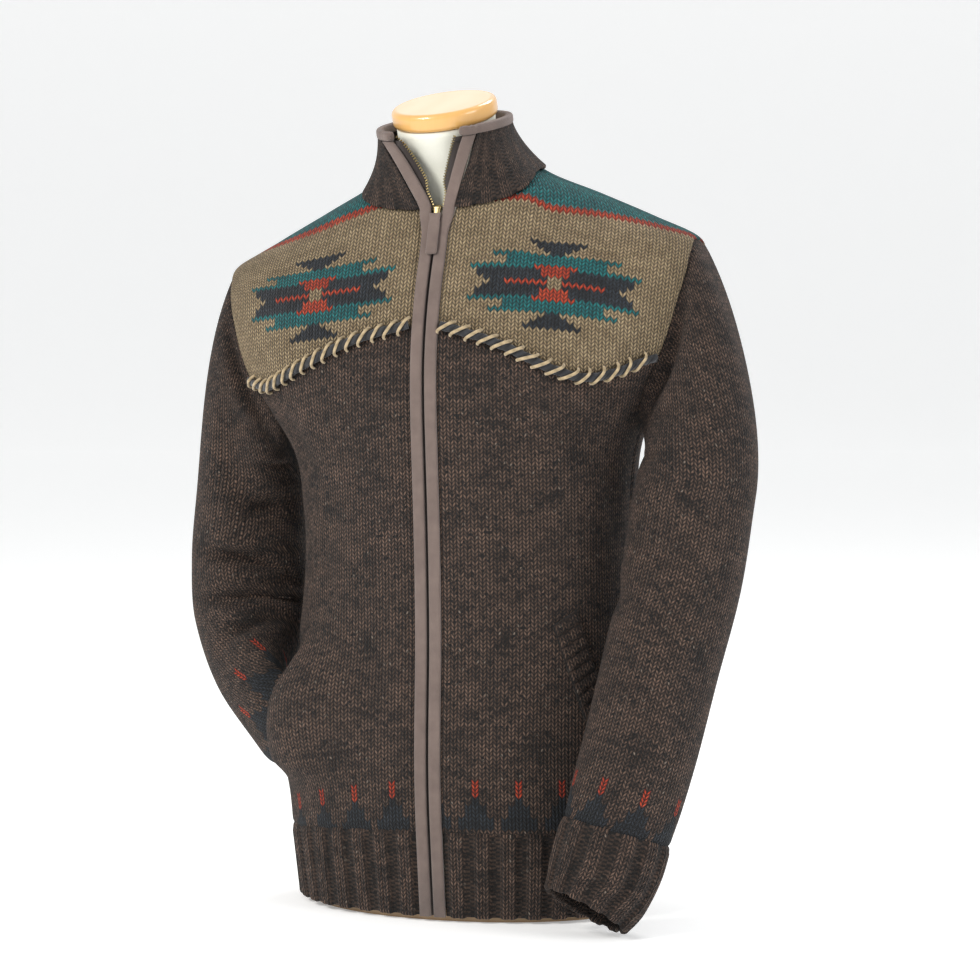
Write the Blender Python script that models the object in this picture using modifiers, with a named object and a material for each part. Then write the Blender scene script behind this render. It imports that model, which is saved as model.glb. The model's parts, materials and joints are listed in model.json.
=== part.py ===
"""A heavy zip-front sweater with a knitted yoke, worn by a limbless dress form.

Metres, +Z up. The front faces -Y and the wearer's left is +X. The form stands on the floor at z = 0.
The cloth is a set of walls, each the span of one knitted piece, 0.3 mm apart at the seams.
"""
import math

import bmesh
import bpy
import numpy as np

MM = 0.001

# Cloth
WALL = 3.6 * MM             # stocking stitch in thick wool
SEAM_HALF = 0.18 * MM       # each piece stops this far short of the seam line
RIB_WALL = 3.0 * MM         # ribbing between its ridges
RIB_HEIGHT = 2.8 * MM       # how far a ridge stands up
RIB_PITCH = 24.0 * MM       # two stitches up and two down
COLLAR_RIB_PITCH = 20.0 * MM

# The body of the sweater, and the form, as level sections
SQUARE = 0.9                # 1 gives ellipses, less gives fuller corners
BODY = np.array([
    # height, half_width, front, back, forward
    (0.000, 0.166, 0.114, 0.112, 0.000),
    (0.045, 0.171, 0.118, 0.115, 0.000),
    (0.090, 0.175, 0.122, 0.118, 0.000),
    (0.150, 0.172, 0.124, 0.119, 0.000),
    (0.270, 0.161, 0.121, 0.116, 0.000),
    (0.380, 0.159, 0.124, 0.116, -0.002),
    (0.440, 0.168, 0.127, 0.118, -0.004),
    (0.480, 0.191, 0.128, 0.120, -0.006),
    (0.520, 0.216, 0.126, 0.120, -0.008),
    (0.560, 0.229, 0.118, 0.116, -0.010),
    (0.600, 0.232, 0.103, 0.104, -0.013),
    (0.617, 0.226, 0.095, 0.098, -0.014),
    (0.640, 0.183, 0.085, 0.090, -0.016),
    (0.665, 0.131, 0.074, 0.080, -0.019),
    (0.690, 0.079, 0.064, 0.068, -0.022),
    (0.705, 0.064, 0.058, 0.060, -0.024),
])
FORM = np.array([
    # height, half_width, front, back, forward
    (0.0123, 0.150, 0.098, 0.095, 0.000),
    (0.100, 0.153, 0.102, 0.098, 0.000),
    (0.250, 0.138, 0.096, 0.092, 0.000),
    (0.380, 0.140, 0.100, 0.094, -0.002),
    (0.450, 0.150, 0.106, 0.100, -0.005),
    (0.520, 0.180, 0.106, 0.102, -0.008),
    (0.570, 0.194, 0.095, 0.096, -0.011),
    (0.600, 0.193, 0.082, 0.086, -0.014),
    (0.615, 0.190, 0.074, 0.080, -0.015),
    (0.6349, 0.184, 0.064, 0.070, -0.016),
    (0.6599, 0.1315, 0.058, 0.064, -0.019),
    (0.680, 0.086, 0.052, 0.056, -0.022),
    (0.695, 0.056, 0.047, 0.048, -0.027),
    (0.715, 0.046, 0.045, 0.045, -0.034),
    (0.7475, 0.045, 0.045, 0.045, -0.042),
])
ROLL = 0.075                # the form dips toward the wearer's right, metres of height a metre of width
ROLL_FROM = 0.25
ROLL_FULL = 0.50
NECK_TILT = 0.14            # the neck leans forward, metres of height a metre of depth
NECK_FROM = 0.675
NECK_FULL = 0.735
NECK_MIDDLE = -0.03         # y of the line that the tilt leaves level
NECK_LEAN = 0.010           # and it stands this far toward the wearer's right
LEAN_FROM = 0.66
LEAN_FULL = 0.74
HEM_SWING = 0.002           # the hem hangs a little toward the wearer's left
HEM_SWING_TOP = 0.15

# Where the pieces meet
HEM_BOTTOM = 0.0050
HEM_TOP = 0.0835
HEM_DIP = 0.014             # the seam above the hem is this much lower at the wearer's right hip
HEM_SEAM_GAP = 0.6 * MM
NECK_FRONT = 0.661          # the collar seam at the zip, at the shoulder and at the back
NECK_SIDE = 0.690
NECK_BACK = 0.703
TIP_HEIGHT = 0.617          # where the shoulder seam meets the sleeve
UNDERARM = 0.452
SCOOP_FRONT = 20.0          # how far the armhole cuts into the front and the back, degrees
SCOOP_BACK = 15.0
RING = 24                   # points round an armhole and a sleeve
YOKE_STEPS = 7              # armhole points from the yoke's lower edge to the shoulder
YOKE_COLUMNS = 14
NECK_COLUMNS = 5
PANEL_SHARES = np.array([0, 0.06, 0.13, 0.20, 0.27, 0.34, 0.42, 0.56, 0.77, 1.0])    # of a panel's height
YOKE_EDGE = np.array([
    # share of the way from the zip to the armhole, height on the left, height on the right
    (0.00, 0.555, 0.557),
    (0.20, 0.535, 0.545),
    (0.42, 0.510, 0.526),
    (0.60, 0.499, 0.513),
    (0.75, 0.502, 0.506),
    (0.87, 0.509, 0.509),
    (1.00, 0.513, 0.513),
])
BACK_YOKE_EDGE = np.array([
    # share of the way from the middle of the back to the armhole, height
    (0.00, 0.530),
    (0.25, 0.537),
    (0.50, 0.536),
    (0.75, 0.524),
    (1.00, 0.513),
])

# Pocket slits in the fronts. The right one is held open by the cuff inside it.
SLIT_BOTTOM = 0.114
SLIT_TOP = 0.270
POCKETS = {
    # side: (turn at the bottom, turn at the top, lift of the front lip, sink of the rear lip, spread)
    -1: (66.0, 54.0, 0.032, -0.008, 26.0),
}

BULGE = dict(deep=0.012, height=0.180, tall=0.075, turn=60.0, wide=30.0)    # of the filled pocket

# Zip
ZIP_GAP = 1.3 * MM          # from the middle of the zip to each padded strip
STRIP_WIDE = 11.5 * MM
STRIP_DEEP = 2.2 * MM
STRIP_PROUD = 2.8 * MM
TAPE_THICK = 1.1 * MM
TAPE_OPEN = 5.0 * MM        # how far the open tape stands out past the strip's edge
ZIP_OPEN_FROM = 0.636
NECK_OPEN = 4.5 * MM        # how far each edge has parted at the collar seam
COLLAR_OPEN = 33.0          # half the angle between the corners of the open collar
COLLAR_TOP = 0.7325
COLLAR_LIFT = 1.5 * MM      # the collar starts this far above the yoke's edge
COLLAR_BOW = 0.004
COLLAR_RADIUS = 0.0600
COLLAR_CENTRE = (-0.012, -0.038)
COLLAR_ROWS = 2
COLLAR_SEAM_RIB = 0.5       # the ribs start at this share of their height at the collar's seam
CORNER_FLARE = 0.003

# Neck cap and base
CAP_RADIUS = 0.0495
CAP_THICK = 0.017
CAP_BEVEL = 0.005
BASE_THICK = 0.012
BASE_HALF_WIDTH = 0.157
BASE_HALF_DEPTH = 0.107

COLOURS = {
    # name: (linear red, green, blue, roughness, metallic)
    "brown wool": (0.098, 0.076, 0.064, 0.92, 0.0),
    "tan wool": (0.36, 0.28, 0.17, 0.92, 0.0),
    "navy wool": (0.030, 0.040, 0.055, 0.92, 0.0),
    "taupe tape": (0.205, 0.160, 0.132, 0.80, 0.0),
    "dark tape": (0.030, 0.022, 0.018, 0.80, 0.0),
    "brass": (0.42, 0.33, 0.16, 0.40, 1.0),
    "cream form": (0.78, 0.75, 0.66, 0.55, 0.0),
    "pale wood": (0.80, 0.55, 0.28, 0.45, 0.0),
}


def ease(value):
    """0 below 0, 1 above 1, and a smooth S between them."""
    v = np.clip(value, 0.0, 1.0)
    return v * v * (3.0 - 2.0 * v)


def unit(vectors):
    """Vectors along the last axis, each made 1 long."""
    return vectors / np.linalg.norm(vectors, axis=-1, keepdims=True)


def smooth(table, column, at):
    """One column of a table at the keys `at`, on a cubic through its rows."""
    keys = table[:, 0]
    values = table[:, column]
    slopes = np.gradient(values, keys)
    at = np.clip(np.asarray(at, float), keys[0], keys[-1])
    i = np.clip(np.searchsorted(keys, at, side="right") - 1, 0, len(keys) - 2)
    step = keys[i + 1] - keys[i]
    u = (at - keys[i]) / step
    start = values[i] * (1 + 2 * u) * (1 - u) ** 2 + slopes[i] * step * u * (1 - u) ** 2
    end = values[i + 1] * u * u * (3 - 2 * u) - slopes[i + 1] * step * u * u * (1 - u)
    return start + end


def settle(x, y, z):
    """The standing form's stance: a dip to one side, a neck that leans forward, a hem that swings."""
    dip = ROLL * x * ease((z - ROLL_FROM) / (ROLL_FULL - ROLL_FROM))
    neck = NECK_TILT * (y - NECK_MIDDLE) * ease((z - NECK_FROM) / (NECK_FULL - NECK_FROM))
    swing = HEM_SWING * (1 - ease(z / HEM_SWING_TOP))
    lean = NECK_LEAN * ease((z - LEAN_FROM) / (LEAN_FULL - LEAN_FROM))
    return np.stack([x + swing - lean, y, z + dip + neck], axis=-1)


def section_point(table, side, turn, height, push=0.0):
    """A point of a body: `turn` runs from 0 at the front middle to 180 at the back middle."""
    side, turn, height, push = np.broadcast_arrays(side, np.asarray(turn, float), height, push)
    angle = np.radians(turn)
    s, c = np.sin(angle), np.cos(angle)
    half = smooth(table, 1, height)
    depth = np.where(c > 0, smooth(table, 2, height), smooth(table, 3, height))
    x = half * np.sign(s) * np.abs(s) ** SQUARE
    y = -depth * np.sign(c) * np.abs(c) ** SQUARE
    out = unit(np.stack([s * depth, -c * half], axis=-1))
    x = side * (x + push * out[..., 0])
    y = y + smooth(table, 4, height) + push * out[..., 1]
    return settle(x, y, height)


def body_point(side, turn, height, push=0.0):
    return section_point(BODY, side, turn, height, push)


def body_normal(side, turn, height):
    """The way out of the body there, from the two directions that lie in its surface."""
    around = body_point(side, np.asarray(turn, float) + 1.0, height) - \
        body_point(side, np.asarray(turn, float) - 1.0, height)
    up = body_point(side, turn, np.asarray(height, float) + 0.002) - \
        body_point(side, turn, np.asarray(height, float) - 0.002)
    across = np.cross(around, up)
    return unit(across * np.asarray(side, float)[..., None])


# ---------------------------------------------------------------- meshes

def material(name):
    mat = bpy.data.materials.get(name)
    if mat is None:
        red, green, blue, rough, metal = COLOURS[name]
        mat = bpy.data.materials.new(name)
        mat.use_nodes = True
        shader = mat.node_tree.nodes["Principled BSDF"]
        shader.inputs["Base Color"].default_value = (red, green, blue, 1.0)
        shader.inputs["Roughness"].default_value = rough
        shader.inputs["Metallic"].default_value = metal
        mat.diffuse_color = (red, green, blue, 1.0)
    return mat


def new_object(name, vertices, faces, finish):
    mesh = bpy.data.meshes.new(name)
    mesh.from_pydata([tuple(v) for v in vertices], [], faces)
    mesh.validate()
    mesh.update()
    obj = bpy.data.objects.new(name, mesh)
    obj.data.materials.append(material(finish))
    parts.objects.link(obj)
    return obj


def grid_faces(rows, columns, closed=False):
    """Quads over a grid of points, in rows, whose last column may join its first."""
    faces = []
    for r in range(rows - 1):
        for c in range(columns if closed else columns - 1):
            d = (c + 1) % columns
            faces.append((r * columns + c, r * columns + d, (r + 1) * columns + d, (r + 1) * columns + c))
    return faces


def wall(name, outer, inner, faces, finish):
    """A closed cloth wall: the outer faces, the same ones inside, and a rim along every open edge."""
    count = len(outer)
    directed = {(a, b) for f in faces for a, b in zip(f, f[1:] + f[:1])}
    rim = [(b, a, a + count, b + count) for a, b in directed if (b, a) not in directed]
    inside = [tuple(v + count for v in reversed(f)) for f in faces]
    obj = new_object(name, np.concatenate([outer, inner]), faces + inside + rim, finish)
    turn_outward(obj)
    return obj


def turn_outward(obj):
    """Flips the whole skin if its volume comes out negative."""
    mesh = obj.data
    corners = np.array([v.co for v in mesh.vertices])
    mesh.calc_loop_triangles()
    tri = np.array([t.vertices for t in mesh.loop_triangles])
    a, b, c = corners[tri[:, 0]], corners[tri[:, 1]], corners[tri[:, 2]]
    if np.einsum("ij,ij->i", a, np.cross(b, c)).sum() < 0:
        mesh.flip_normals()


def trim(points, closed=False, amount=SEAM_HALF):
    """Moves the edges of a grid toward its middle, to leave the gap at the seams."""
    p = points.copy()
    for near, far in ((0, 1), (-1, -2)):
        p[near] += amount * unit(points[far] - points[near])
        if not closed:
            p[:, near] += amount * unit(points[:, far] - points[:, near])
    return p


def sheet(name, points, normals, finish, closed=False, thick=WALL):
    """A plain cloth wall under a grid of outer points."""
    outer = trim(points, closed)
    inner = outer - thick * normals
    rows, columns = points.shape[:2]
    return wall(name, outer.reshape(-1, 3), inner.reshape(-1, 3), grid_faces(rows, columns, closed), finish)


def coons(bottom, top, left, right, shares=None):
    """Fills the inside of four edges, each a row of (turn, height), with a grid of the same."""
    columns, rows = len(bottom), len(left)
    u = np.linspace(0, 1, columns)[None, :, None]
    v = (np.linspace(0, 1, rows) if shares is None else shares)[:, None, None]
    ruled = (1 - v) * bottom[None] + v * top[None] + (1 - u) * left[:, None] + u * right[:, None]
    corners = (1 - v) * ((1 - u) * bottom[0] + u * bottom[-1]) + v * ((1 - u) * top[0] + u * top[-1])
    return ruled - corners


def pairs(turn, height):
    turn, height = np.broadcast_arrays(np.asarray(turn, float), height)
    return np.stack([turn, height], axis=-1)


# ---------------------------------------------------------------- seams shared by the pieces

def zip_turn(height, offset):
    """The turn that lies `offset` sideways of the middle of the zip."""
    return np.degrees(np.arcsin((offset / smooth(BODY, 1, height)) ** (1 / SQUARE)))


STRIP_EDGE = ZIP_GAP + STRIP_WIDE


def armhole(psi):
    """(turn, height) round an armhole: 0 at the shoulder, 90 at the front, 180 under the arm."""
    a = np.radians(psi)
    height = TIP_HEIGHT - (TIP_HEIGHT - UNDERARM) * (1 - np.cos(a)) / 2
    wave = np.abs(np.sin(a)) ** 0.7
    return pairs(np.where(np.sin(a) > 0, 90 - SCOOP_FRONT * wave, 90 + SCOOP_BACK * wave), height)


RING_STEP = 360.0 / RING
YOKE_PSI = YOKE_STEPS * RING_STEP


def neckline(turn):
    """Height of the collar seam round the neck."""
    a = np.radians(turn)
    front = NECK_FRONT + (NECK_SIDE - NECK_FRONT) * np.sin(a) ** 2
    back = NECK_BACK + (NECK_SIDE - NECK_BACK) * np.sin(a) ** 2
    return np.where(np.asarray(turn) <= 90, front, back)


def shoulder_edge(start_turn):
    """The top of a yoke: along the neck, then down the shoulder seam to the sleeve."""
    round_neck = np.linspace(start_turn, 90, NECK_COLUMNS + 1)
    down = np.linspace(NECK_SIDE, TIP_HEIGHT, YOKE_COLUMNS - NECK_COLUMNS + 1)[1:]
    return np.concatenate([pairs(round_neck, neckline(round_neck)), pairs(90, down)])


def yoke_edge(table, column, start_turn, end_turn):
    share = np.linspace(0, 1, YOKE_COLUMNS + 1)
    return pairs(start_turn + (end_turn - start_turn) * share, smooth(table, column, share))


def yoke_start(side):
    """Height of a front yoke's lower edge at the zip."""
    return YOKE_EDGE[0, 1 if side > 0 else 2]


def front_yoke_map(side):
    """(turn, height) over a front yoke, row by row from its lower edge."""
    seam = armhole(np.linspace(YOKE_PSI, 0, YOKE_STEPS + 1))
    low = yoke_start(side)
    edge = yoke_edge(YOKE_EDGE, 1 if side > 0 else 2, zip_turn(low, STRIP_EDGE), seam[0, 0])
    top = shoulder_edge(float(zip_turn(NECK_FRONT, zip_edge(NECK_FRONT))))
    top[0, 1] = NECK_FRONT
    rise = np.linspace(low, NECK_FRONT, YOKE_STEPS + 1)
    return coons(edge, top, pairs(zip_turn(rise, zip_edge(rise)), rise), seam)


def back_yoke_map(_side):
    """(turn, height) over half of the back yoke, from the middle of the back outward. Both halves match."""
    seam = armhole(360 - np.linspace(YOKE_PSI, 0, YOKE_STEPS + 1))
    edge = yoke_edge(BACK_YOKE_EDGE, 1, 180, seam[0, 0])
    top = shoulder_edge(180)
    rise = np.linspace(edge[0, 1], top[0, 1], YOKE_STEPS + 1)
    return coons(edge, top, pairs(180, rise), seam)


def hem_seam(side, turn):
    """Height of the seam between the panels and the hem."""
    return HEM_TOP - np.where(side < 0, HEM_DIP, 0.0) * np.sin(np.radians(turn)) ** 2


def lower_map(side, edge, under, middle_turn):
    """(turn, height) over a panel from the hem seam to the yoke and the armhole."""
    top = np.concatenate([edge, under[1:]])
    share = np.linspace(0, 1, len(top)) ** 0.92
    low_turn = middle_turn(HEM_TOP)
    round_hem = low_turn + (90 - low_turn) * share
    bottom = pairs(round_hem, hem_seam(side, round_hem))
    rows = PANEL_SHARES
    rise = bottom[0, 1] + (top[0, 1] - bottom[0, 1]) * rows
    seam = bottom[-1, 1] + (UNDERARM - bottom[-1, 1]) * rows
    return coons(bottom, top, pairs(middle_turn(rise), rise), pairs(90, seam), rows)


def front_lower_map(side):
    under = armhole(np.arange(YOKE_PSI, 180.1, RING_STEP))
    return lower_map(side, front_yoke_map(side)[0], under, lambda z: zip_turn(z, STRIP_EDGE))


def back_lower_map(side):
    under = armhole(360 - np.arange(YOKE_PSI, 180.1, RING_STEP))
    return lower_map(side, back_yoke_map(side)[0], under, lambda z: z * 0 + 180.0)


# ---------------------------------------------------------------- sleeves

CUFF_START = 1.0008
SLEEVE_ROWS_TOP = 4
SLEEVE_ROWS = 12
SLEEVES = {
    # side: rows of share, centre x, y, z, half size outward, half size to the front, way out x, y, z.
    # The sleeve ends and its cuff starts at a share of 1.
    1: np.array([
        (0.32, 0.2315, -0.040, 0.405, 0.057, 0.055, 1.0, 0.30, 0.0),
        (0.50, 0.2225, -0.053, 0.320, 0.056, 0.052, 1.0, 0.30, 0.0),
        (0.66, 0.2105, -0.076, 0.245, 0.054, 0.050, 1.0, 0.30, 0.0),
        (0.83, 0.1965, -0.099, 0.165, 0.053, 0.047, 1.0, 0.30, 0.0),
        (0.92, 0.1875, -0.108, 0.125, 0.052, 0.045, 1.0, 0.30, 0.0),
        (1.00, 0.1800, -0.115, 0.093, 0.050, 0.042, 1.0, 0.30, 0.0),
        (1.06, 0.1740, -0.121, 0.068, 0.050, 0.040, 1.0, 0.30, 0.0),
        (1.12, 0.1665, -0.128, 0.044, 0.047, 0.035, 1.0, 0.30, 0.0),
        (1.18, 0.1585, -0.138, 0.0255, 0.041, 0.030, 1.0, 0.30, 0.0),
    ]),
    -1: np.array([
        (0.30, -0.2290, 0.014, 0.395, 0.050, 0.058, -1.0, 0.10, 0.0),
        (0.50, -0.2340, 0.014, 0.315, 0.052, 0.060, -1.0, 0.05, 0.0),
        (0.64, -0.2300, 0.002, 0.262, 0.049, 0.060, -1.0, -0.10, 0.0),
        (0.78, -0.2140, -0.022, 0.213, 0.036, 0.058, -1.0, -0.35, 0.0),
        (0.90, -0.1850, -0.048, 0.181, 0.019, 0.052, -0.9, -0.45, 0.0),
        (1.00, -0.1605, -0.0685, 0.173, 0.0110, 0.041, -0.8, -0.60, 0.0),
        (1.08, -0.1370, -0.0810, 0.172, 0.0100, 0.036, -0.7, -0.75, 0.0),
        (1.16, -0.1145, -0.0900, 0.171, 0.0095, 0.032, -0.55, -0.85, 0.0),
    ]),
}
FOLDS = {
    # side: rows of share, middle angle, slant (share a degree), half width in share,
    #       half length in degrees, depth
    1: [
        (0.30, 150.0, 0.0006, 0.030, 60.0, 0.006),
        (0.56, 170.0, -0.0004, 0.028, 55.0, 0.004),
    ],
    -1: [
        (0.34, 130.0, 0.0010, 0.032, 65.0, 0.010),
        (0.50, 120.0, 0.0007, 0.026, 75.0, 0.012),
        (0.61, 110.0, 0.0000, 0.022, 80.0, 0.016),
        (0.72, 95.0, -0.0007, 0.024, 75.0, 0.010),
    ],
}


def tube(table, side, share, psi, fold_rows=()):
    """Points of a sleeve or cuff: rings across a centre line that bends through the table's rows."""
    share = np.asarray(share, float)[:, None]
    angle = np.radians(psi)[None, :]
    centre = np.stack([smooth(table, k, share) for k in (1, 2, 3)], axis=-1)
    ahead = [smooth(table, k, share + 0.01) - smooth(table, k, share - 0.01) for k in (1, 2, 3)]
    ahead = np.stack(ahead, axis=-1)
    along = unit(ahead)
    hint = np.stack([smooth(table, k, share) for k in (6, 7, 8)], axis=-1)
    out = unit(hint - (hint * along).sum(-1, keepdims=True) * along)
    front = side * np.cross(along, out)
    sunk = 0.0
    for at, middle, slant, half_share, half_turn, depth in fold_rows:
        away = (np.asarray(psi)[None, :] - middle + 180.0) % 360.0 - 180.0
        reach = np.cos(np.clip(away / half_turn, -1, 1) * math.pi / 2) ** 2
        sunk = sunk + depth * reach * np.exp(-((share - at - slant * away) / half_share) ** 2)
    a = (smooth(table, 4, share) - sunk) * np.cos(angle)
    b = (smooth(table, 5, share) - sunk) * np.sin(angle)
    return centre + a[..., None] * out + b[..., None] * front


def sleeve_points(side, psi, rows_top=SLEEVE_ROWS_TOP, rows=SLEEVE_ROWS):
    """The whole sleeve, from the armhole ring to its seam with the cuff."""
    table = SLEEVES[side]
    start_share = table[0, 0]
    low = np.linspace(start_share, 1.0, rows)
    lower = tube(table, side, low, psi, FOLDS[side])
    ring = armhole(psi)
    start = body_point(side, ring[:, 0], ring[:, 1])
    a = np.radians(psi)
    reach = 0.9 * np.linalg.norm(lower[0] - start, axis=-1, keepdims=True)
    away = reach * unit(np.stack([
        side * (0.40 + (0.06 + 0.04 * side) * np.cos(a)),
        -0.25 * np.sin(a),
        np.full_like(a, -0.90),
    ], axis=-1))
    onward = reach * unit(lower[1] - lower[0])
    u = np.linspace(0, 1, rows_top + 1)[:-1, None, None]
    upper = (start * (1 + 2 * u) * (1 - u) ** 2 + away * u * (1 - u) ** 2
             + lower[0] * u * u * (3 - 2 * u) - onward * u * u * (1 - u))
    return np.concatenate([upper, lower])


def tube_normals(points):
    """The way out of a grid whose columns close round."""
    around = np.roll(points, -1, axis=1) - np.roll(points, 1, axis=1)
    along = np.gradient(points, axis=0)
    across = unit(np.cross(around, along))
    middle = points.mean(axis=1, keepdims=True)
    return across * np.sign(((points - middle) * across).sum())


PSI = np.arange(RING) * RING_STEP


UNDERARM_PULL = 0.9         # under the arm the two walls meet edge to edge, facing down


def armhole_direction(side):
    """At each armhole point, the way both the body and the sleeve face, so that their walls meet."""
    ring = armhole(PSI)
    sleeve = tube_normals(sleeve_points(side, PSI))[0]
    low = (0.5 - 0.5 * np.cos(np.radians(PSI)))[:, None] ** 2
    down = low * np.array([0.0, 0.0, -UNDERARM_PULL])
    ways = unit(body_normal(side, ring[:, 0], ring[:, 1]) + sleeve + down)
    return unit(2 * ways + np.roll(ways, 1, axis=0) + np.roll(ways, -1, axis=0))


ARMHOLE_EASE = 0.3 * MM     # the sleeve's edge lies this far outside the armhole's


def make_sleeve(side, name):
    points = sleeve_points(side, PSI)
    normals = tube_normals(points)
    normals[0] = armhole_direction(side)
    round_seam = np.roll(points[0], -1, axis=0) - np.roll(points[0], 1, axis=0)
    aside = unit(np.cross(round_seam, normals[0]))
    points[0] += ARMHOLE_EASE * aside * np.sign(side * aside[:, :1])
    sheet(name, points, normals, "brown wool", closed=True)


CUFF_RIBS = 12
RIB = np.array([
    # place in the pitch, share of the rib's height
    (0.00, 0.0),
    (0.13, 0.0),
    (0.27, 1.0),
    (0.73, 1.0),
    (0.87, 0.0),
])
CUFF_ROWS = {1: 4, -1: 3}
CUFF_SCALE = {1: 1.0, -1: 0.5}      # the right cuff's ribs are pressed flat in the pocket


def raised(base, normals, heights, rib_wall=RIB_WALL):
    """Outer and inner points of ribbing: ridges on the outside over a plain inside."""
    outer = base + heights[..., None] * normals
    return outer, base - rib_wall * normals


def rib_profile(ribs):
    """Places round a ribbed edge, 0 to 1, and each one's height."""
    place = (np.arange(ribs)[:, None] + RIB[None, :, 0]).ravel() / ribs
    height = np.tile(RIB[:, 1], ribs) * RIB_HEIGHT
    return place, height


def ribbed_shares(curve, pitch=RIB_PITCH):
    """Shares along an edge at which its ribbing turns, and each one's height."""
    fine = np.linspace(0, 1, 600)
    steps = np.linalg.norm(np.diff(curve(fine), axis=0), axis=1)
    run = np.concatenate([[0.0], np.cumsum(steps)])
    place, height = rib_profile(round(run[-1] / pitch))
    return np.interp(np.append(place, 1.0) * run[-1], run, fine), np.append(height, 0.0)


def make_cuff(side, name):
    place, height = rib_profile(CUFF_RIBS)
    rows = CUFF_ROWS[side]
    share = np.linspace(CUFF_START, SLEEVES[side][-1, 0], rows)
    base = tube(SLEEVES[side], side, share, place * 360.0)
    base = trim(base, closed=True)
    scale = CUFF_SCALE[side]
    outer, inner = raised(base, tube_normals(base), np.broadcast_to(height * scale, base.shape[:2]),
                          RIB_WALL * scale)
    faces = grid_faces(rows, len(place), closed=True)
    wall(name, outer.reshape(-1, 3), inner.reshape(-1, 3), faces, "brown wool")


# ---------------------------------------------------------------- body panels

CORNER_EASE = 0.35 * MM


def make_front_yoke(side, name, armhole_dir):
    grid = front_yoke_map(side)
    normals = body_normal(side, grid[..., 0], grid[..., 1])
    normals[:, -1] = armhole_dir[YOKE_STEPS::-1]
    points = body_point(side, grid[..., 0], grid[..., 1])
    ease_corner(points, -1)
    sheet(name, points, normals, "tan wool")


def ease_corner(points, column):
    """A yoke's lower corner at the armhole, where the walls turn toward the sleeve, stops a little higher."""
    points[0, column] += CORNER_EASE * unit(points[1, column] - points[0, column])


def both_halves(half_map, dress):
    """A back piece: the right half mirrored and joined to the left along the middle."""
    grids = {}
    for side in (1, -1):
        grid = half_map(side)
        turn, height = grid[..., 0], grid[..., 1]
        points, normals = body_point(side, turn, height), body_normal(side, turn, height)
        dress(side, normals)
        grids[side] = (points, normals)
    return [np.concatenate([grids[-1][k][:, :0:-1], grids[1][k]], axis=1) for k in (0, 1)]


def make_back_yoke(name, directions):
    def dress(side, normals):
        normals[:, -1] = directions[side][-np.arange(YOKE_STEPS, -1, -1)]
    points, normals = both_halves(back_yoke_map, dress)
    ease_corner(points, 0)
    ease_corner(points, -1)
    sheet(name, points, normals, "tan wool")


def make_back(name, directions):
    def dress(side, normals):
        normals[-1, YOKE_COLUMNS:] = directions[side][-np.arange(YOKE_STEPS, RING // 2 + 1)]
    points, normals = both_halves(back_lower_map, dress)
    sheet(name, points, normals, "brown wool")


def pocket_lift(turn, height, slit_turn, side_of_slit):
    """How far a pocket that holds a hand stands out of the front, in front of its slit and behind it."""
    _, _, lift, sink, spread = POCKETS[-1]
    low = ease((height - HEM_TOP) / 0.05)
    away = ((height - BULGE["height"]) / BULGE["tall"]) ** 2 + ((turn - BULGE["turn"]) / BULGE["wide"]) ** 2
    bulge = BULGE["deep"] * np.exp(-away) * low
    along = np.clip((height - SLIT_BOTTOM) / (SLIT_TOP - SLIT_BOTTOM), 0, 1)
    gape = np.sin(math.pi * along) ** 0.5
    near = np.exp(-((turn - slit_turn) / spread) ** 2)
    front = (lift - BULGE["deep"]) * gape * near
    rear = (sink - BULGE["deep"]) * gape * near
    return bulge + np.where(side_of_slit <= 0, front, rear)


SLIT_COLUMN = 12
SLIT_ROWS = (1, 6)
SLIT_PARTED = 0.8           # the rear lip lies this many degrees behind the front one


def slit_turn(height):
    bottom, top = POCKETS[-1][:2]
    along = np.clip((height - SLIT_BOTTOM) / (SLIT_TOP - SLIT_BOTTOM), 0, 1)
    return bottom + (top - bottom) * along


def make_front(side, name, armhole_dir):
    """A front below the yoke. The right one is slit for its pocket, which the cuff inside holds open."""
    grid = front_lower_map(side)
    if side < 0:
        column = np.arange(grid.shape[1])[None, :]
        near = np.clip(1 - np.abs(column - SLIT_COLUMN) / 6.0, 0, 1)
        height = grid[..., 1]
        level = ease((height - HEM_TOP) / 0.04) * (1 - ease((height - 0.30) / 0.12))
        shift = slit_turn(height[:, SLIT_COLUMN])[:, None] - grid[:, SLIT_COLUMN, 0][:, None]
        grid[..., 0] += shift * near * level
    turn, height = grid[..., 0], grid[..., 1]
    normals = body_normal(side, turn, height)
    normals[-1, YOKE_COLUMNS:] = armhole_dir[YOKE_STEPS:RING // 2 + 1]
    rows, columns = turn.shape
    faces = grid_faces(rows, columns)
    if side > 0:
        sheet(name, body_point(side, turn, height), normals, "brown wool")
        return
    order = np.broadcast_to(np.arange(columns) - SLIT_COLUMN, turn.shape)
    slit = slit_turn(height)
    push = pocket_lift(turn, height, slit, order)
    outer = trim(body_point(side, turn, height, push)).reshape(-1, 3)
    ways = normals.reshape(-1, 3)
    first, last = SLIT_ROWS
    behind = pocket_lift(turn, height, slit, np.ones_like(order))
    rear_points = body_point(side, turn + SLIT_PARTED, height, behind)
    copies = {}
    extra, extra_ways = [], []
    for r in range(first + 1, last):
        copies[r * columns + SLIT_COLUMN] = len(outer) + len(extra)
        extra.append(rear_points[r, SLIT_COLUMN])
        extra_ways.append(normals[r, SLIT_COLUMN])
    split = []
    for f in faces:
        if f[0] % columns == SLIT_COLUMN:
            f = tuple(copies.get(v, v) for v in f)
        split.append(f)
    outer = np.concatenate([outer, np.array(extra)])
    ways = np.concatenate([ways, np.array(extra_ways)])
    wall(name, outer, outer - WALL * ways, split, "brown wool")


HEM_SINK = 1.2 * MM         # the ribbing draws in a little under the panels


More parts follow.
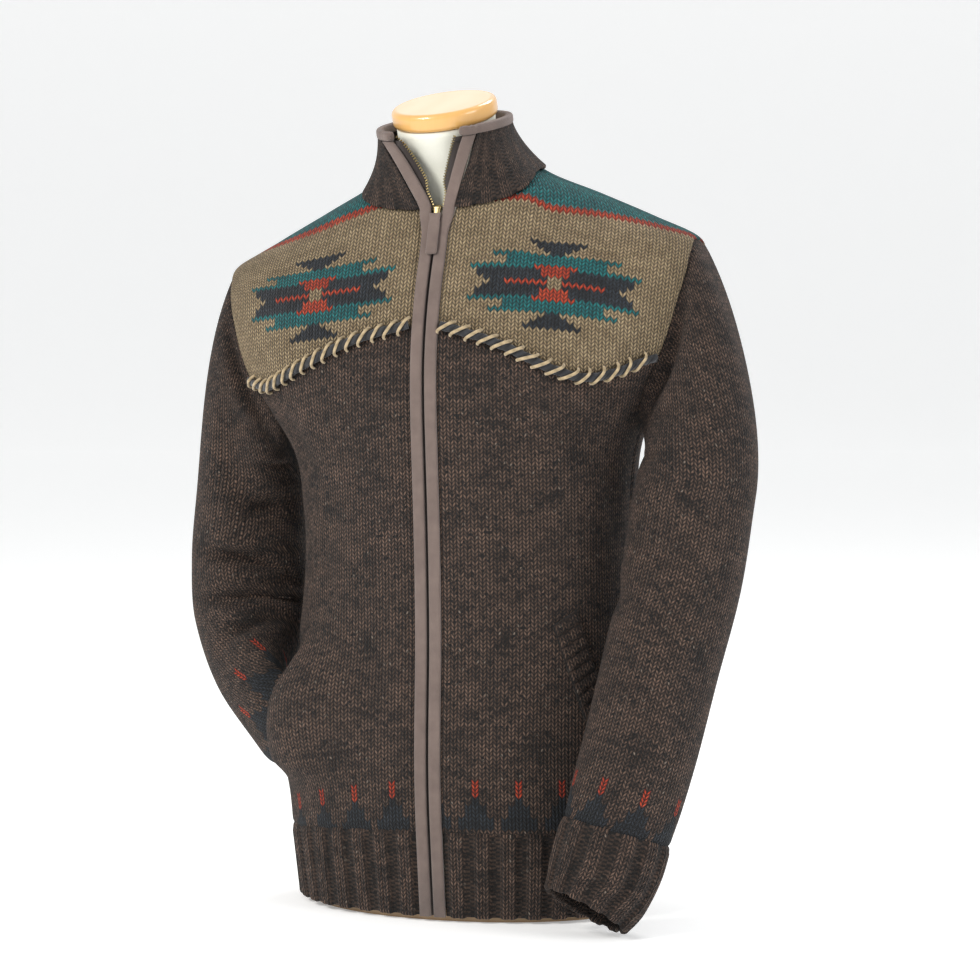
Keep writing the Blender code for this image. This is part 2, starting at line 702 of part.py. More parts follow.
def make_hem(name, side, start, end):
    """A ribbed band between two turns. The back's runs from one side seam round to the other."""
    whole = start > 180 or end > 180

    def at(share, up):
        turn = start + (end - start) * share
        where = np.where(turn > 180, -1, 1) if whole else side
        turn = np.where(turn > 180, 360 - turn, turn)
        top = hem_seam(where, turn) - HEM_SEAM_GAP
        return body_point(where, turn, HEM_BOTTOM + (top - HEM_BOTTOM) * up, -HEM_SINK)

    share, height = ribbed_shares(lambda s: at(s, 0.0))
    base = np.stack([at(share, up) for up in (0.0, 1.0)])
    ahead = at(share + 0.004, 1.0) - at(share - 0.004, 1.0)
    ways = unit(np.stack([ahead[:, 1], -ahead[:, 0], 0 * ahead[:, 0]], axis=-1))
    ways *= np.sign((base[0] * ways).sum(-1, keepdims=True))
    ways = np.broadcast_to(ways, base.shape)
    base[:, 0] += SEAM_HALF * unit(base[:, 1] - base[:, 0])
    base[:, -1] += SEAM_HALF * unit(base[:, -2] - base[:, -1])
    outer, inner = raised(base, ways, np.broadcast_to(height, base.shape[:2]))
    wall(name, outer.reshape(-1, 3), inner.reshape(-1, 3), grid_faces(*base.shape[:2]), "brown wool")


# ---------------------------------------------------------------- collar

def collar_top(side, angle, up=0.0, out=0.0):
    """A point of the collar's top edge: `angle` from the front middle, `up` and `out` from the edge."""
    a = np.radians(angle)
    radius = COLLAR_RADIUS + out + CORNER_FLARE * np.exp(-((angle - COLLAR_OPEN) / 25.0) ** 2)
    x = COLLAR_CENTRE[0] + side * radius * np.sin(a)
    y = COLLAR_CENTRE[1] - radius * np.cos(a)
    z = COLLAR_TOP + up + NECK_TILT * (y - COLLAR_CENTRE[1]) + ROLL * (x - COLLAR_CENTRE[0])
    return np.stack([x, y, z], axis=-1)


def zip_edge(height):
    """How far the edge of the cloth lies from the middle of the zip."""
    return STRIP_EDGE + NECK_OPEN * ease((height - ZIP_OPEN_FROM) / (NECK_FRONT - ZIP_OPEN_FROM))


COLLAR_UP = unit(np.array([-ROLL, -NECK_TILT, 1.0]))    # square to the collar's top edge
COLLAR_EASE = 0.6 * MM      # more room beside the zip's strips, which turn as they open
EDGE_ANGLE = COLLAR_OPEN + math.degrees(STRIP_EDGE / COLLAR_RADIUS)


def neck_turn(share):
    """Turn at a share of the way from the zip's strip to the back of the neck."""
    start = float(zip_turn(NECK_FRONT, zip_edge(NECK_FRONT)))
    return start + (180 - start) * share


def collar_grid(side, share, rows):
    """Points of half the collar: share 0 at the strip and 1 at the back, rows 0 at the seam and 1 on top."""
    share, rows = np.asarray(share)[None, :], np.asarray(rows)[:, None]
    turn = neck_turn(share)
    base = body_point(side, turn, neckline(turn)) + np.array([0, 0, COLLAR_LIFT])
    top = collar_top(side, EDGE_ANGLE + (180 - EDGE_ANGLE) * share)
    mix = rows[..., None]
    points = (1 - mix) * base + mix * top
    inward = points - np.array([COLLAR_CENTRE[0], NECK_MIDDLE, 0.0])
    inward[..., 2] = 0.0
    bow = COLLAR_BOW * 4 * mix * (1 - mix) * ease(share / 0.25)[..., None]
    return points - bow * unit(inward)


def make_collar(name):
    share, ridge = ribbed_shares(lambda s: collar_grid(1, s, [0.0])[0], COLLAR_RIB_PITCH)
    rows = np.linspace(0, 1, COLLAR_ROWS + 1)
    left = collar_grid(1, share, rows)
    right = collar_grid(-1, share, rows)
    base = np.concatenate([right, left[:, -2::-1]], axis=1)
    ridge = np.concatenate([ridge, ridge[-2::-1]])
    around = np.gradient(base, axis=1)
    up = np.gradient(base, axis=0)
    ways = unit(np.cross(around, up))
    ways[-1] = unit(ways[-1] - (ways[-1] @ COLLAR_UP)[:, None] * COLLAR_UP)
    turn = neck_turn(share)
    slope = [body_normal(way, turn, neckline(turn)) for way in (-1, 1)]
    ways[0] = unit(2 * ways[0] + np.concatenate([slope[0], slope[1][-2::-1]]))
    base = trim(base)
    for end, near in ((0, 1), (-1, -2)):
        base[:, end] += COLLAR_EASE * unit(base[:, near] - base[:, end])
    ridges = np.tile(ridge, (len(rows), 1))
    ridges[0] *= COLLAR_SEAM_RIB
    outer, inner = raised(base, ways, ridges)
    wall(name, outer.reshape(-1, 3), inner.reshape(-1, 3), grid_faces(*base.shape[:2]), "brown wool")


# ---------------------------------------------------------------- zip

def sweep(name, centre, across, out, profile, finish):
    """A bar along a line. The profile's corners are given across it and out of the cloth, per station."""
    profile = np.broadcast_to(profile, (len(centre),) + np.shape(profile)[-2:])
    rings = centre[:, None] + profile[..., 0:1] * across[:, None] + profile[..., 1:2] * out[:, None]
    return loft(name, rings, finish)


def loft(name, rings, finish):
    """A solid through rings of points, closed at both ends."""
    count, corners = rings.shape[:2]
    faces = grid_faces(count, corners, closed=True)
    faces.append(tuple(range(corners)))
    faces.append(tuple(range(count * corners - 1, (count - 1) * corners - 1, -1)))
    obj = new_object(name, rings.reshape(-1, 3), faces, finish)
    bm = bmesh.new()
    bm.from_mesh(obj.data)
    bmesh.ops.recalc_face_normals(bm, faces=bm.faces)
    bm.to_mesh(obj.data)
    bm.free()
    turn_outward(obj)
    return obj


ZIP_COLLAR_STEPS = 6


def zip_line(side):
    """The zip's stations from the hem to the top of the collar: places, ways across and ways out."""
    panel = HEM_TOP + (yoke_start(side) - HEM_TOP) * PANEL_SHARES
    yoke = np.linspace(yoke_start(side), NECK_FRONT, YOKE_STEPS + 1)
    heights = np.concatenate([[HEM_BOTTOM], panel, yoke[1:]])
    edge = zip_edge(heights)
    turn = zip_turn(heights, edge)
    cloth = body_point(side, turn, heights)
    across = unit(cloth - body_point(side, zip_turn(heights, edge - STRIP_EDGE + 0.1 * MM), heights))
    rows = np.append(np.linspace(0.08, 0.80, ZIP_COLLAR_STEPS), 0.97)
    collar = collar_grid(side, np.array([0.0, 0.02]), rows)
    cloth = np.concatenate([cloth, collar[:, 0]])
    across = np.concatenate([across, unit(collar[:, 1] - collar[:, 0])])
    along = unit(np.gradient(cloth, axis=0))
    out = unit(np.cross(across, along)) * side
    across = unit(np.cross(along, out)) * side
    place = cloth - STRIP_EDGE * across
    height = np.concatenate([heights, np.full(len(rows), 1.0) + rows])
    return place, across, out, height


STRIP = np.array([
    # across, out of the cloth
    (ZIP_GAP, -STRIP_DEEP),
    (ZIP_GAP, STRIP_PROUD - 1.2 * MM),
    (ZIP_GAP + 2.0 * MM, STRIP_PROUD),
    (STRIP_EDGE - 2.2 * MM, STRIP_PROUD),
    (STRIP_EDGE - 0.15 * MM, STRIP_PROUD - 1.2 * MM),
    (STRIP_EDGE - 0.15 * MM, -STRIP_DEEP),
])


def make_zip(side, strip_name, tape_name):
    place, across, out, height = zip_line(side)
    strip = zip_rings(side, place, across, out, STRIP)
    loft(strip_name, strip, "taupe tape")
    opened = ease((height - 1.10) / 0.22)
    inner = 0.15 * MM * (1 - opened) - TAPE_OPEN * opened
    back = -STRIP_DEEP - (0.3 + 1.0 * opened) * MM
    profile = np.zeros((len(place), 4, 2))
    profile[:, 1:3, 0] = STRIP_EDGE - 1.5 * MM
    profile[:, 0, 0] = profile[:, 3, 0] = inner
    profile[:, :2, 1] = back[:, None]
    profile[:, 2:, 1] = back[:, None] - TAPE_THICK
    loft(tape_name, zip_rings(side, place, across, out, profile), "dark tape")


def zip_rings(side, centre, across, out, profile):
    """Rings along the zip, the last one cut level with the collar's top edge."""
    profile = np.broadcast_to(profile, (len(centre),) + np.shape(profile)[-2:])
    rings = centre[:, None] + profile[..., 0:1] * across[:, None] + profile[..., 1:2] * out[:, None]
    along = unit(centre[-1] - centre[-2])
    above = (rings[-1] - collar_top(side, COLLAR_OPEN)) @ COLLAR_UP
    rings[-1] -= (above / (along @ COLLAR_UP))[:, None] * along
    return rings


def make_collar_binding(name):
    """The padded tape over the collar's top edge, from one corner of the opening round to the other."""
    angle = np.linspace(COLLAR_OPEN - 1.5, 180, 13)
    left = collar_top(1, angle)
    right = collar_top(-1, angle[-2::-1])
    centre = np.concatenate([left, right])
    along = unit(np.gradient(centre, axis=0))
    up = np.broadcast_to(COLLAR_UP, along.shape)
    out = unit(np.cross(along, up))
    out *= np.sign((out * (centre - np.array([*COLLAR_CENTRE, COLLAR_TOP]))).sum(-1, keepdims=True))
    profile = np.array([
        # out, up
        (-0.0040, 0.0003), (-0.0040, 0.0070), (-0.0018, 0.0092),
        (0.0016, 0.0092), (0.0036, 0.0070), (0.0036, 0.0003),
    ])
    sweep(name, centre, out, up, profile, "taupe tape")


SLIDER = dict(low=0.652, high=0.664, half=0.0024, back=-2.0 * MM, face=2.9 * MM)
PULL_LENGTH = 0.038
PULL_HALF = 0.0055
PULL_THICK = 3.0 * MM
PULL_AXIS_OUT = 4.9 * MM
PULL_AXIS_HEIGHT = 0.6545


def zip_frame(height):
    """The middle of the zip at a height, the way down along it and the way out of it."""
    middle = body_point(1, 0.0, height)
    down = unit(body_point(1, 0.0, height - PULL_LENGTH) - middle)
    across = unit(body_point(1, 4.0, height) - body_point(-1, 4.0, height))
    out = unit(np.cross(down, across))
    out *= np.sign(-out[1])
    return middle, down, out, across


def make_slider(name):
    middle, down, out, across = zip_frame(PULL_AXIS_HEIGHT)
    half = SLIDER["half"]
    reach = (SLIDER["high"] - SLIDER["low"])
    stations = np.array([-0.75, 0.25])[:, None] * reach * down + middle
    profile = np.array([
        (-half, SLIDER["back"]), (-half, SLIDER["face"] - 1 * MM), (-half + 1 * MM, SLIDER["face"]),
        (half - 1 * MM, SLIDER["face"]), (half, SLIDER["face"] - 1 * MM), (half, SLIDER["back"]),
    ])
    sweep(name, stations, np.tile(across, (2, 1)), np.tile(out, (2, 1)), profile, "brass")


def make_pull(name):
    """The pull tab: a flat bar whose round top end turns about a pin in the slider."""
    middle, down, out, across = zip_frame(PULL_AXIS_HEIGHT)
    axis = middle + PULL_AXIS_OUT * out
    half = PULL_THICK / 2
    round_end = [(half * math.sin(a), -half * math.cos(a))
                 for a in np.radians(np.linspace(-90, 90, 7))]
    points = np.array(round_end + [(half, PULL_LENGTH), (-half, PULL_LENGTH)])
    ring = points[:, 0:1] * out + points[:, 1:2] * down
    local = np.stack([ring - across * PULL_HALF, ring + across * PULL_HALF])
    obj = loft(name, local, "taupe tape")
    obj.location = axis


# ---------------------------------------------------------------- pocket welt and cords

WELT_RIBS = 12
WELT_WIDE_TURN = 10.0       # the band is about 25 mm wide
WELT_RISE = 0.013
WELT_TOP = (42.0, 0.279)    # turn and height of the band's inner corners
WELT_BOTTOM = (59.0, 0.146)
WELT_THICK = 2.1 * MM
WELT_RIDGE = 1.3 * MM


def make_welt(side, name):
    """The ribbed band that edges a pocket, laid on the front along its slanted slit."""
    along = np.linspace(0, 1, 2 * WELT_RIBS + 1)[:, None]
    across = np.linspace(0, 1, 4)[None, :]
    turn = WELT_TOP[0] + (WELT_BOTTOM[0] - WELT_TOP[0]) * along + WELT_WIDE_TURN * across
    height = WELT_TOP[1] + (WELT_BOTTOM[1] - WELT_TOP[1]) * along + WELT_RISE * across
    ridge = np.where(np.arange(2 * WELT_RIBS + 1) % 2 == 1, WELT_RIDGE, 0.0)[:, None]
    inner = body_point(side, turn, height, 0.5 * MM)
    outer = body_point(side, turn, height, 0.5 * MM + WELT_THICK + ridge)
    wall(name, outer.reshape(-1, 3), inner.reshape(-1, 3), grid_faces(*turn.shape), "brown wool")


CORD_SIDES = 6
CORD_HALF_WIDE = 3.9 * MM
CORD_HALF_THICK = 2.6 * MM


def make_cord(name, points, ways, finish="navy wool"):
    """A cord stitched over the yoke's lower edge: a flattened tube along it, just off the cloth."""
    centre = points + (CORD_HALF_THICK + 0.7 * MM) * ways
    along = unit(np.gradient(centre, axis=0))
    across = unit(np.cross(ways, along))
    a = np.arange(CORD_SIDES) * 2 * math.pi / CORD_SIDES
    profile = np.stack([CORD_HALF_WIDE * np.cos(a), CORD_HALF_THICK * np.sin(a)], axis=-1)
    sweep(name, centre, across, ways, profile, finish)


def make_cords():
    for side, name in ((1, "yoke_cord_left"), (-1, "yoke_cord_right")):
        edge = front_yoke_map(side)[0]
        points = body_point(side, edge[:, 0], edge[:, 1])
        ways = body_normal(side, edge[:, 0], edge[:, 1])
        ends = trim_line(points, 3.0 * MM, 6.0 * MM)
        make_cord(name, ends, ways)
    edge = back_yoke_map(1)[0]
    halves = {s: body_point(s, edge[:, 0], edge[:, 1]) for s in (1, -1)}
    ways = {s: body_normal(s, edge[:, 0], edge[:, 1]) for s in (1, -1)}
    points = np.concatenate([halves[-1][:0:-1], halves[1]])
    make_cord("yoke_cord_back", trim_line(points, 6.0 * MM, 6.0 * MM),
              np.concatenate([ways[-1][:0:-1], ways[1]]))


def trim_line(points, start, end):
    """A line drawn in at both ends."""
    p = points.copy()
    p[0] += start * unit(points[1] - points[0])
    p[-1] += end * unit(points[-2] - points[-1])
    return p


# ---------------------------------------------------------------- form

FORM_RING = 28


def make_form_torso(name):
    turn = np.arange(FORM_RING) * 360.0 / FORM_RING
    side = np.where(turn <= 180, 1, -1)
    half_turn = np.where(turn <= 180, turn, 360 - turn)
    rings = np.stack([section_point(FORM, side, half_turn, z) for z in FORM[:, 0]])
    loft(name, rings, "cream form")


def make_neck_cap(name):
    """A turned wooden disc on the neck, tilted with it."""
    top = FORM[-1]
    ring = section_point(FORM, np.array([1, 1, -1, 1]), np.array([90.0, 0.0, 90.0, 180.0]), top[0])
    across, ahead = unit(ring[0] - ring[2]), unit(ring[3] - ring[1])
    up = unit(np.cross(across, ahead))
    centre = ring.mean(axis=0) + (CAP_THICK / 2 + 0.3 * MM) * up
    bpy.ops.mesh.primitive_cylinder_add(vertices=36, radius=CAP_RADIUS, depth=CAP_THICK)
    obj = bpy.context.object
    obj.name = obj.data.name = name
    turned = np.stack([across, np.cross(up, across), up], axis=1)
    corners = np.array([v.co for v in obj.data.vertices]) @ turned.T + centre
    for vertex, place in zip(obj.data.vertices, corners):
        vertex.co = place
    claim(obj, "pale wood")
    bevel = obj.modifiers.new("bevel", "BEVEL")
    bevel.width = CAP_BEVEL
    bevel.segments = 3
    bevel.limit_method = "ANGLE"


def make_base(name):
    """The wooden plate the form stands on."""
    bpy.ops.mesh.primitive_cylinder_add(vertices=40, radius=1.0, depth=BASE_THICK)
    obj = bpy.context.object
    obj.name = obj.data.name = name
    for vertex in obj.data.vertices:
        vertex.co.x = vertex.co.x * BASE_HALF_WIDTH + HEM_SWING
        vertex.co.y *= BASE_HALF_DEPTH
        vertex.co.z += BASE_THICK / 2
    claim(obj, "pale wood")


def claim(obj, finish):
    """Moves a primitive into the parts collection and gives it its material."""
    for collection in list(obj.users_collection):
        collection.objects.unlink(obj)
    parts.objects.link(obj)
    obj.data.materials.append(material(finish))


# ---------------------------------------------------------------- build

def clear_scene():
    for obj in list(bpy.data.objects):
        bpy.data.objects.remove(obj, do_unlink=True)


def main():
    directions = {side: armhole_direction(side) for side in (1, -1)}
    make_form_torso("form_torso")
    make_neck_cap("form_neck_cap")
    make_base("form_base")
    for side, word in ((1, "left"), (-1, "right")):
        make_front(side, f"front_{word}", directions[side])
        make_front_yoke(side, f"yoke_front_{word}", directions[side])
        make_sleeve(side, f"sleeve_{word}")
        make_cuff(side, f"cuff_{word}")
        make_hem(f"hem_{word}", side, float(zip_turn(HEM_BOTTOM, STRIP_EDGE)), 90.0)
        make_zip(side, f"zip_binding_{word}", f"zip_tape_{word}")
    make_back("back", directions)
    make_back_yoke("yoke_back", directions)
    make_hem("hem_back", 1, 90.0, 270.0)
    make_collar("collar")
    make_collar_binding("collar_binding")
    make_slider("zip_slider")
    make_pull("zip_pull")
    make_welt(1, "pocket_welt_left")
    make_cords()


clear_scene()
parts = bpy.data.collections.new("parts")
bpy.context.scene.collection.children.link(parts)
cutters = bpy.data.collections.new("cutters")
bpy.context.scene.collection.children.link(cutters)
main()
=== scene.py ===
# %% [markdown]
# # A heavy zip-front sweater with a knitted yoke, on a dress form
# The sweater is knitted in thick wool: brown below, tan across the shoulders with a stepped diamond on
# each side of the zip, ribbed at hem, cuffs and collar. Each knitted piece is one surface, a function of
# two numbers, and the stitches are a pattern in the material that follows each piece's own UV map.

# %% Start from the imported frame
import json
import math
import bpy
import numpy as np
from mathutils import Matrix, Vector

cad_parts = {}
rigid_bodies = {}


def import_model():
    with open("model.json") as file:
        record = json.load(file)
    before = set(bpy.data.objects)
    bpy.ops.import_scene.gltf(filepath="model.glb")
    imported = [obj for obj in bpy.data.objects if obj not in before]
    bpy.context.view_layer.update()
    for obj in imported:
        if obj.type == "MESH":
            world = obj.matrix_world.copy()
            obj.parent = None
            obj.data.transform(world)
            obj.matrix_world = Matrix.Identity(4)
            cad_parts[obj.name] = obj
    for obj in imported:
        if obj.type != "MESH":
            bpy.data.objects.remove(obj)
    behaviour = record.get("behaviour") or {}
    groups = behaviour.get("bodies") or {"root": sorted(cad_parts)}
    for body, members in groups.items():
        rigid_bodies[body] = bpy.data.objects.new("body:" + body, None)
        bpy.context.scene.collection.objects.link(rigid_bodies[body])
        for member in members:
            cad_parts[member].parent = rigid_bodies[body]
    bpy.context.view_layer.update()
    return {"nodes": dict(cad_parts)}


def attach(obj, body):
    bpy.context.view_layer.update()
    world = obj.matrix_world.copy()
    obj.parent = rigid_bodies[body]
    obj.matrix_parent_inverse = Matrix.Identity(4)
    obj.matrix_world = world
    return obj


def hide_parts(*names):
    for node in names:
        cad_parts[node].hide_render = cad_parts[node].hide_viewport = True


for leftover in list(bpy.data.objects):
    bpy.data.objects.remove(leftover, do_unlink=True)
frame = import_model()
print("frame loaded, nodes:", len(frame["nodes"]))

# %% [markdown]
# ## The body's shape
# The body is a stack of level sections. Each section is a squared ellipse with its own half width and
# its own depth in front and behind. A point of the body is then given by a turn round it, 0 at the
# front and 180 at the back, and a height. The same sections carry the solids of the frame, so a piece
# made from them lies where its solid lies.

# %% Sections of the body
MM = 0.001
SQUARE = 0.9
BODY = np.array([
    # height, half_width, front, back, forward
    (0.000, 0.166, 0.114, 0.112, 0.000),
    (0.045, 0.171, 0.118, 0.115, 0.000),
    (0.090, 0.175, 0.122, 0.118, 0.000),
    (0.150, 0.172, 0.124, 0.119, 0.000),
    (0.270, 0.161, 0.121, 0.116, 0.000),
    (0.380, 0.159, 0.124, 0.116, -0.002),
    (0.440, 0.168, 0.127, 0.118, -0.004),
    (0.480, 0.191, 0.128, 0.120, -0.006),
    (0.520, 0.216, 0.126, 0.120, -0.008),
    (0.560, 0.229, 0.118, 0.116, -0.010),
    (0.600, 0.232, 0.103, 0.104, -0.013),
    (0.617, 0.226, 0.095, 0.098, -0.014),
    (0.640, 0.183, 0.085, 0.090, -0.016),
    (0.665, 0.131, 0.074, 0.080, -0.019),
    (0.690, 0.079, 0.064, 0.068, -0.022),
    (0.705, 0.064, 0.058, 0.060, -0.024),
])


def ease(value):
    """0 below 0, 1 above 1, and the S curve v * v * (3 - 2 v) between them."""
    v = np.clip(value, 0.0, 1.0)
    return v * v * (3.0 - 2.0 * v)


def unit(vectors):
    """Each vector divided by its own length."""
    return vectors / np.maximum(np.linalg.norm(vectors, axis=-1, keepdims=True), 1e-12)


def smooth(table, column, at):
    """One column of a table at the keys `at`: the cubic through two rows with the slopes there."""
    keys = table[:, 0]
    values = table[:, column]
    slopes = np.gradient(values, keys)
    at = np.clip(np.asarray(at, float), keys[0], keys[-1])
    i = np.clip(np.searchsorted(keys, at, side="right") - 1, 0, len(keys) - 2)
    step = keys[i + 1] - keys[i]
    u = (at - keys[i]) / step
    start = values[i] * (1 + 2 * u) * (1 - u) ** 2 + slopes[i] * step * u * (1 - u) ** 2
    end = values[i + 1] * u * u * (3 - 2 * u) - slopes[i + 1] * step * u * u * (1 - u)
    return start + end


print("body sections:", len(BODY))

# %% [markdown]
# ## The stance
# The form stands a little askew: one shoulder is lower, the neck leans forward, and the hem swings.
# That is a shift added to every level section, so all the pieces lean together.

# %% The stance, and a point of the body
ROLL, ROLL_FROM, ROLL_FULL = 0.075, 0.25, 0.50
NECK_TILT, NECK_FROM, NECK_FULL, NECK_MIDDLE = 0.14, 0.675, 0.735, -0.03
NECK_LEAN, LEAN_FROM, LEAN_FULL = 0.010, 0.66, 0.74
HEM_SWING, HEM_SWING_TOP = 0.002, 0.15


def settle(x, y, z):
    """Raises z by a share of x, and of y at the neck, and shifts x at the neck and the hem."""
    dip = ROLL * x * ease((z - ROLL_FROM) / (ROLL_FULL - ROLL_FROM))
    neck = NECK_TILT * (y - NECK_MIDDLE) * ease((z - NECK_FROM) / (NECK_FULL - NECK_FROM))
    swing = HEM_SWING * (1 - ease(z / HEM_SWING_TOP))
    lean = NECK_LEAN * ease((z - LEAN_FROM) / (LEAN_FULL - LEAN_FROM))
    return np.stack([x + swing - lean, y, z + dip + neck], axis=-1)


def section_point(table, side, turn, height, push=0.0):
    """x = half width * sin(turn)^0.9 and y = -depth * cos(turn)^0.9, with their signs kept, plus `push`
    outward."""
    side, turn, height, push = np.broadcast_arrays(side, np.asarray(turn, float), height, push)
    angle = np.radians(turn)
    s, c = np.sin(angle), np.cos(angle)
    half = smooth(table, 1, height)
    depth = np.where(c > 0, smooth(table, 2, height), smooth(table, 3, height))
    x = half * np.sign(s) * np.abs(s) ** SQUARE
    y = -depth * np.sign(c) * np.abs(c) ** SQUARE
    out = unit(np.stack([s * depth, -c * half], axis=-1))
    x = side * (x + push * out[..., 0])
    y = y + smooth(table, 4, height) + push * out[..., 1]
    return settle(x, y, height)


def body_point(side, turn, height, push=0.0):
    """A point of the sweater's outer face: its section at a height, `push` metres further out."""
    return section_point(BODY, side, turn, height, push)


def body_normal(side, turn, height):
    """The cross product of the step round the body and the step up it."""
    turn, height = np.asarray(turn, float), np.asarray(height, float)
    around = body_point(side, turn + 1.0, height) - body_point(side, turn - 1.0, height)
    up = body_point(side, turn, height + 0.002) - body_point(side, turn, height - 0.002)
    return unit(np.cross(around, up) * np.asarray(side, float)[..., None])


def girth(side, turn, height, steps=72):
    """How far round the body a turn lies from the front middle: the sum of short chords at that height."""
    share = np.linspace(0, 1, steps).reshape((-1,) + (1,) * np.ndim(turn))
    ring = body_point(side, share * turn, np.broadcast_to(height, np.shape(turn)))
    return np.linalg.norm(np.diff(ring, axis=0), axis=-1).sum(axis=0)


print("half girth of the chest:", round(float(girth(1, np.array(180.0), np.array(0.5))), 3), "m")

# %% [markdown]
# ## Cloth as a wall
# Knitted cloth has two faces and an edge. The outer face is a grid of points, the inner face is the same
# grid moved in along its normals, and the top and bottom edges turn over in a half circle, because
# cloth this thick has a round edge. Solidify could give the thickness, but its edge would be square.

# %% A cloth wall from a grid
WALL = 3.6 * MM


def grid_normals(points, closed=False):
    """Cross product of the steps along the columns and the rows of a grid."""
    if closed:
        around = np.roll(points, -1, axis=1) - np.roll(points, 1, axis=1)
    else:
        around = np.gradient(points, axis=1)
    return unit(np.cross(around, np.gradient(points, axis=0)))


def outward(points, normals):
    """Turns a whole grid of normals round if most of them point at the grid's middle."""
    middle = points.mean(axis=(0, 1))
    return normals * np.sign(((points - middle) * normals).sum())


def quads(rows, columns, wrap_rows, wrap_columns):
    """Corner numbers of the faces of a grid of points, four a face."""
    r = np.arange(rows if wrap_rows else rows - 1)[:, None]
    c = np.arange(columns if wrap_columns else columns - 1)[None, :]
    r2, c2 = (r + 1) % rows, (c + 1) % columns
    return np.stack([r * columns + c, r * columns + c2, r2 * columns + c2, r2 * columns + c],
                    axis=-1).reshape(-1, 4)


def new_mesh(name, points, faces, uv=None, values=None, smooth=None):
    """Puts arrays into a mesh, flips it if its volume is negative, and adds a UV map and point values."""
    faces = np.asarray(faces)
    a, b, c, d = (points[faces[:, k]] for k in range(4))
    volume = np.einsum("ij,ij->i", a, np.cross(b, c)).sum() + np.einsum("ij,ij->i", a, np.cross(c, d)).sum()
    if volume < 0:
        faces = faces[:, ::-1]
        uv = None if uv is None else uv[:, ::-1]
    mesh = bpy.data.meshes.new(name)
    mesh.vertices.add(len(points))
    mesh.vertices.foreach_set("co", points.astype(np.float32).ravel())
    mesh.loops.add(faces.size)
    mesh.loops.foreach_set("vertex_index", faces.astype(np.int32).ravel())
    mesh.polygons.add(len(faces))
    mesh.polygons.foreach_set("loop_start", np.arange(0, faces.size, 4, dtype=np.int32))
    mesh.update(calc_edges=True)
    if uv is not None:
        mesh.uv_layers.new(name="cloth").data.foreach_set("uv", uv.astype(np.float32).ravel())
    for key, value in (values or {}).items():
        attribute = mesh.attributes.new(key, "FLOAT", "POINT")
        attribute.data.foreach_set("value", np.asarray(value, np.float32).ravel())
    mesh.polygons.foreach_set("use_smooth", np.ones(len(faces), dtype=bool) if smooth is None else smooth)
    mesh.update()
    obj = bpy.data.objects.new(name, mesh)
    bpy.context.scene.collection.objects.link(obj)
    return obj


def wall(outer, normals, uv, thick=WALL, closed=False, values=None, round_edge=4):
    """Outer grid, inner grid = outer - thick * normal, and half circles of an even number of rows at
    both ends.

    A closed wall's uv grid has one column more than its points, so that the map runs on past the join.
    """
    rows, columns = outer.shape[:2]
    thick = np.broadcast_to(thick, (rows, columns))[..., None]
    inner = outer - thick * normals
    turn = np.linspace(0, math.pi, round_edge + 2)[1:-1][:, None, None]

    def edge(k, near):
        middle = (outer[k] + inner[k]) / 2
        away = unit(middle - (outer[near] + inner[near]) / 2)
        return middle + thick[k] / 2 * (np.cos(turn) * normals[k] + np.sin(turn) * away)

    points = np.concatenate([outer, edge(-1, -2), inner[::-1], edge(0, 1)[::-1]])
    order = np.concatenate([np.arange(rows), np.full(round_edge, rows - 1), np.arange(rows)[::-1],
                            np.zeros(round_edge, int)])
    faces = quads(len(points), columns, True, closed)
    places = uv[order].reshape(-1, 2)[quads(len(points), uv.shape[1], True, False)]
    smooth = np.ones(len(faces), dtype=bool)
    if not closed:
        r = np.arange(rows - 1)
        back = 2 * rows + round_edge - 1 - r
        side = np.stack([r, r + 1, back - 1, back], axis=-1)
        extra = [side * columns, (side * columns + columns - 1)[:, ::-1]]
        extra += [end_fill(start, rows, round_edge, columns, len(points)) for start in (0, rows - 1)]
        extra = np.concatenate(extra)
        faces = np.concatenate([faces, extra])
        places = np.concatenate([places, uv[order].reshape(-1, 2)[extra]])
        smooth = np.concatenate([smooth, np.zeros(len(extra), dtype=bool)])
    flat_values = {key: np.broadcast_to(v, (rows, columns))[order].ravel() for key,
                   v in (values or {}).items()}
    return points.reshape(-1, 3), faces, places, flat_values, smooth


def merge(shapes):
    """Several sets of arrays as one: the corner numbers of each are raised by the points before it."""
    starts = np.cumsum([0] + [len(s[0]) for s in shapes[:-1]])
    points = np.concatenate([s[0] for s in shapes])
    faces = np.concatenate([s[1] + n for s, n in zip(shapes, starts)])
    places = np.concatenate([s[2] for s in shapes])
    values = {key: np.concatenate([s[3][key] for s in shapes]) for key in shapes[0][3]}
    return points, faces, places, values, np.concatenate([s[4] for s in shapes])


def loft(rings, across=None, along=None):
    """A tube through rings of an even number of points, each end filled with strips of quads."""
    count, sides = rings.shape[:2]
    faces = quads(count, sides, False, True)
    closed = np.concatenate([rings, rings[:, :1]], axis=1)
    round_run, long_run = run_along(closed, 1), run_along(closed, 0)
    grid = np.stack([round_run if across is None else np.broadcast_to(across, round_run.shape),
                     long_run if along is None else np.broadcast_to(along, round_run.shape)], axis=-1)
    places = grid.reshape(-1, 2)[quads(count, sides + 1, False, False)]
    k = np.arange(sides // 2 - 1)
    fill = np.stack([k, k + 1, sides - 2 - k, sides - 1 - k], axis=-1)
    ends = np.concatenate([fill[:, ::-1], fill + (count - 1) * sides])
    places = np.concatenate([places, grid[:, :-1].reshape(-1, 2)[ends]])
    smooth = np.concatenate([np.ones(len(faces), dtype=bool), np.zeros(len(ends), dtype=bool)])
    return rings.reshape(-1, 3), np.concatenate([faces, ends]), places, {}, smooth


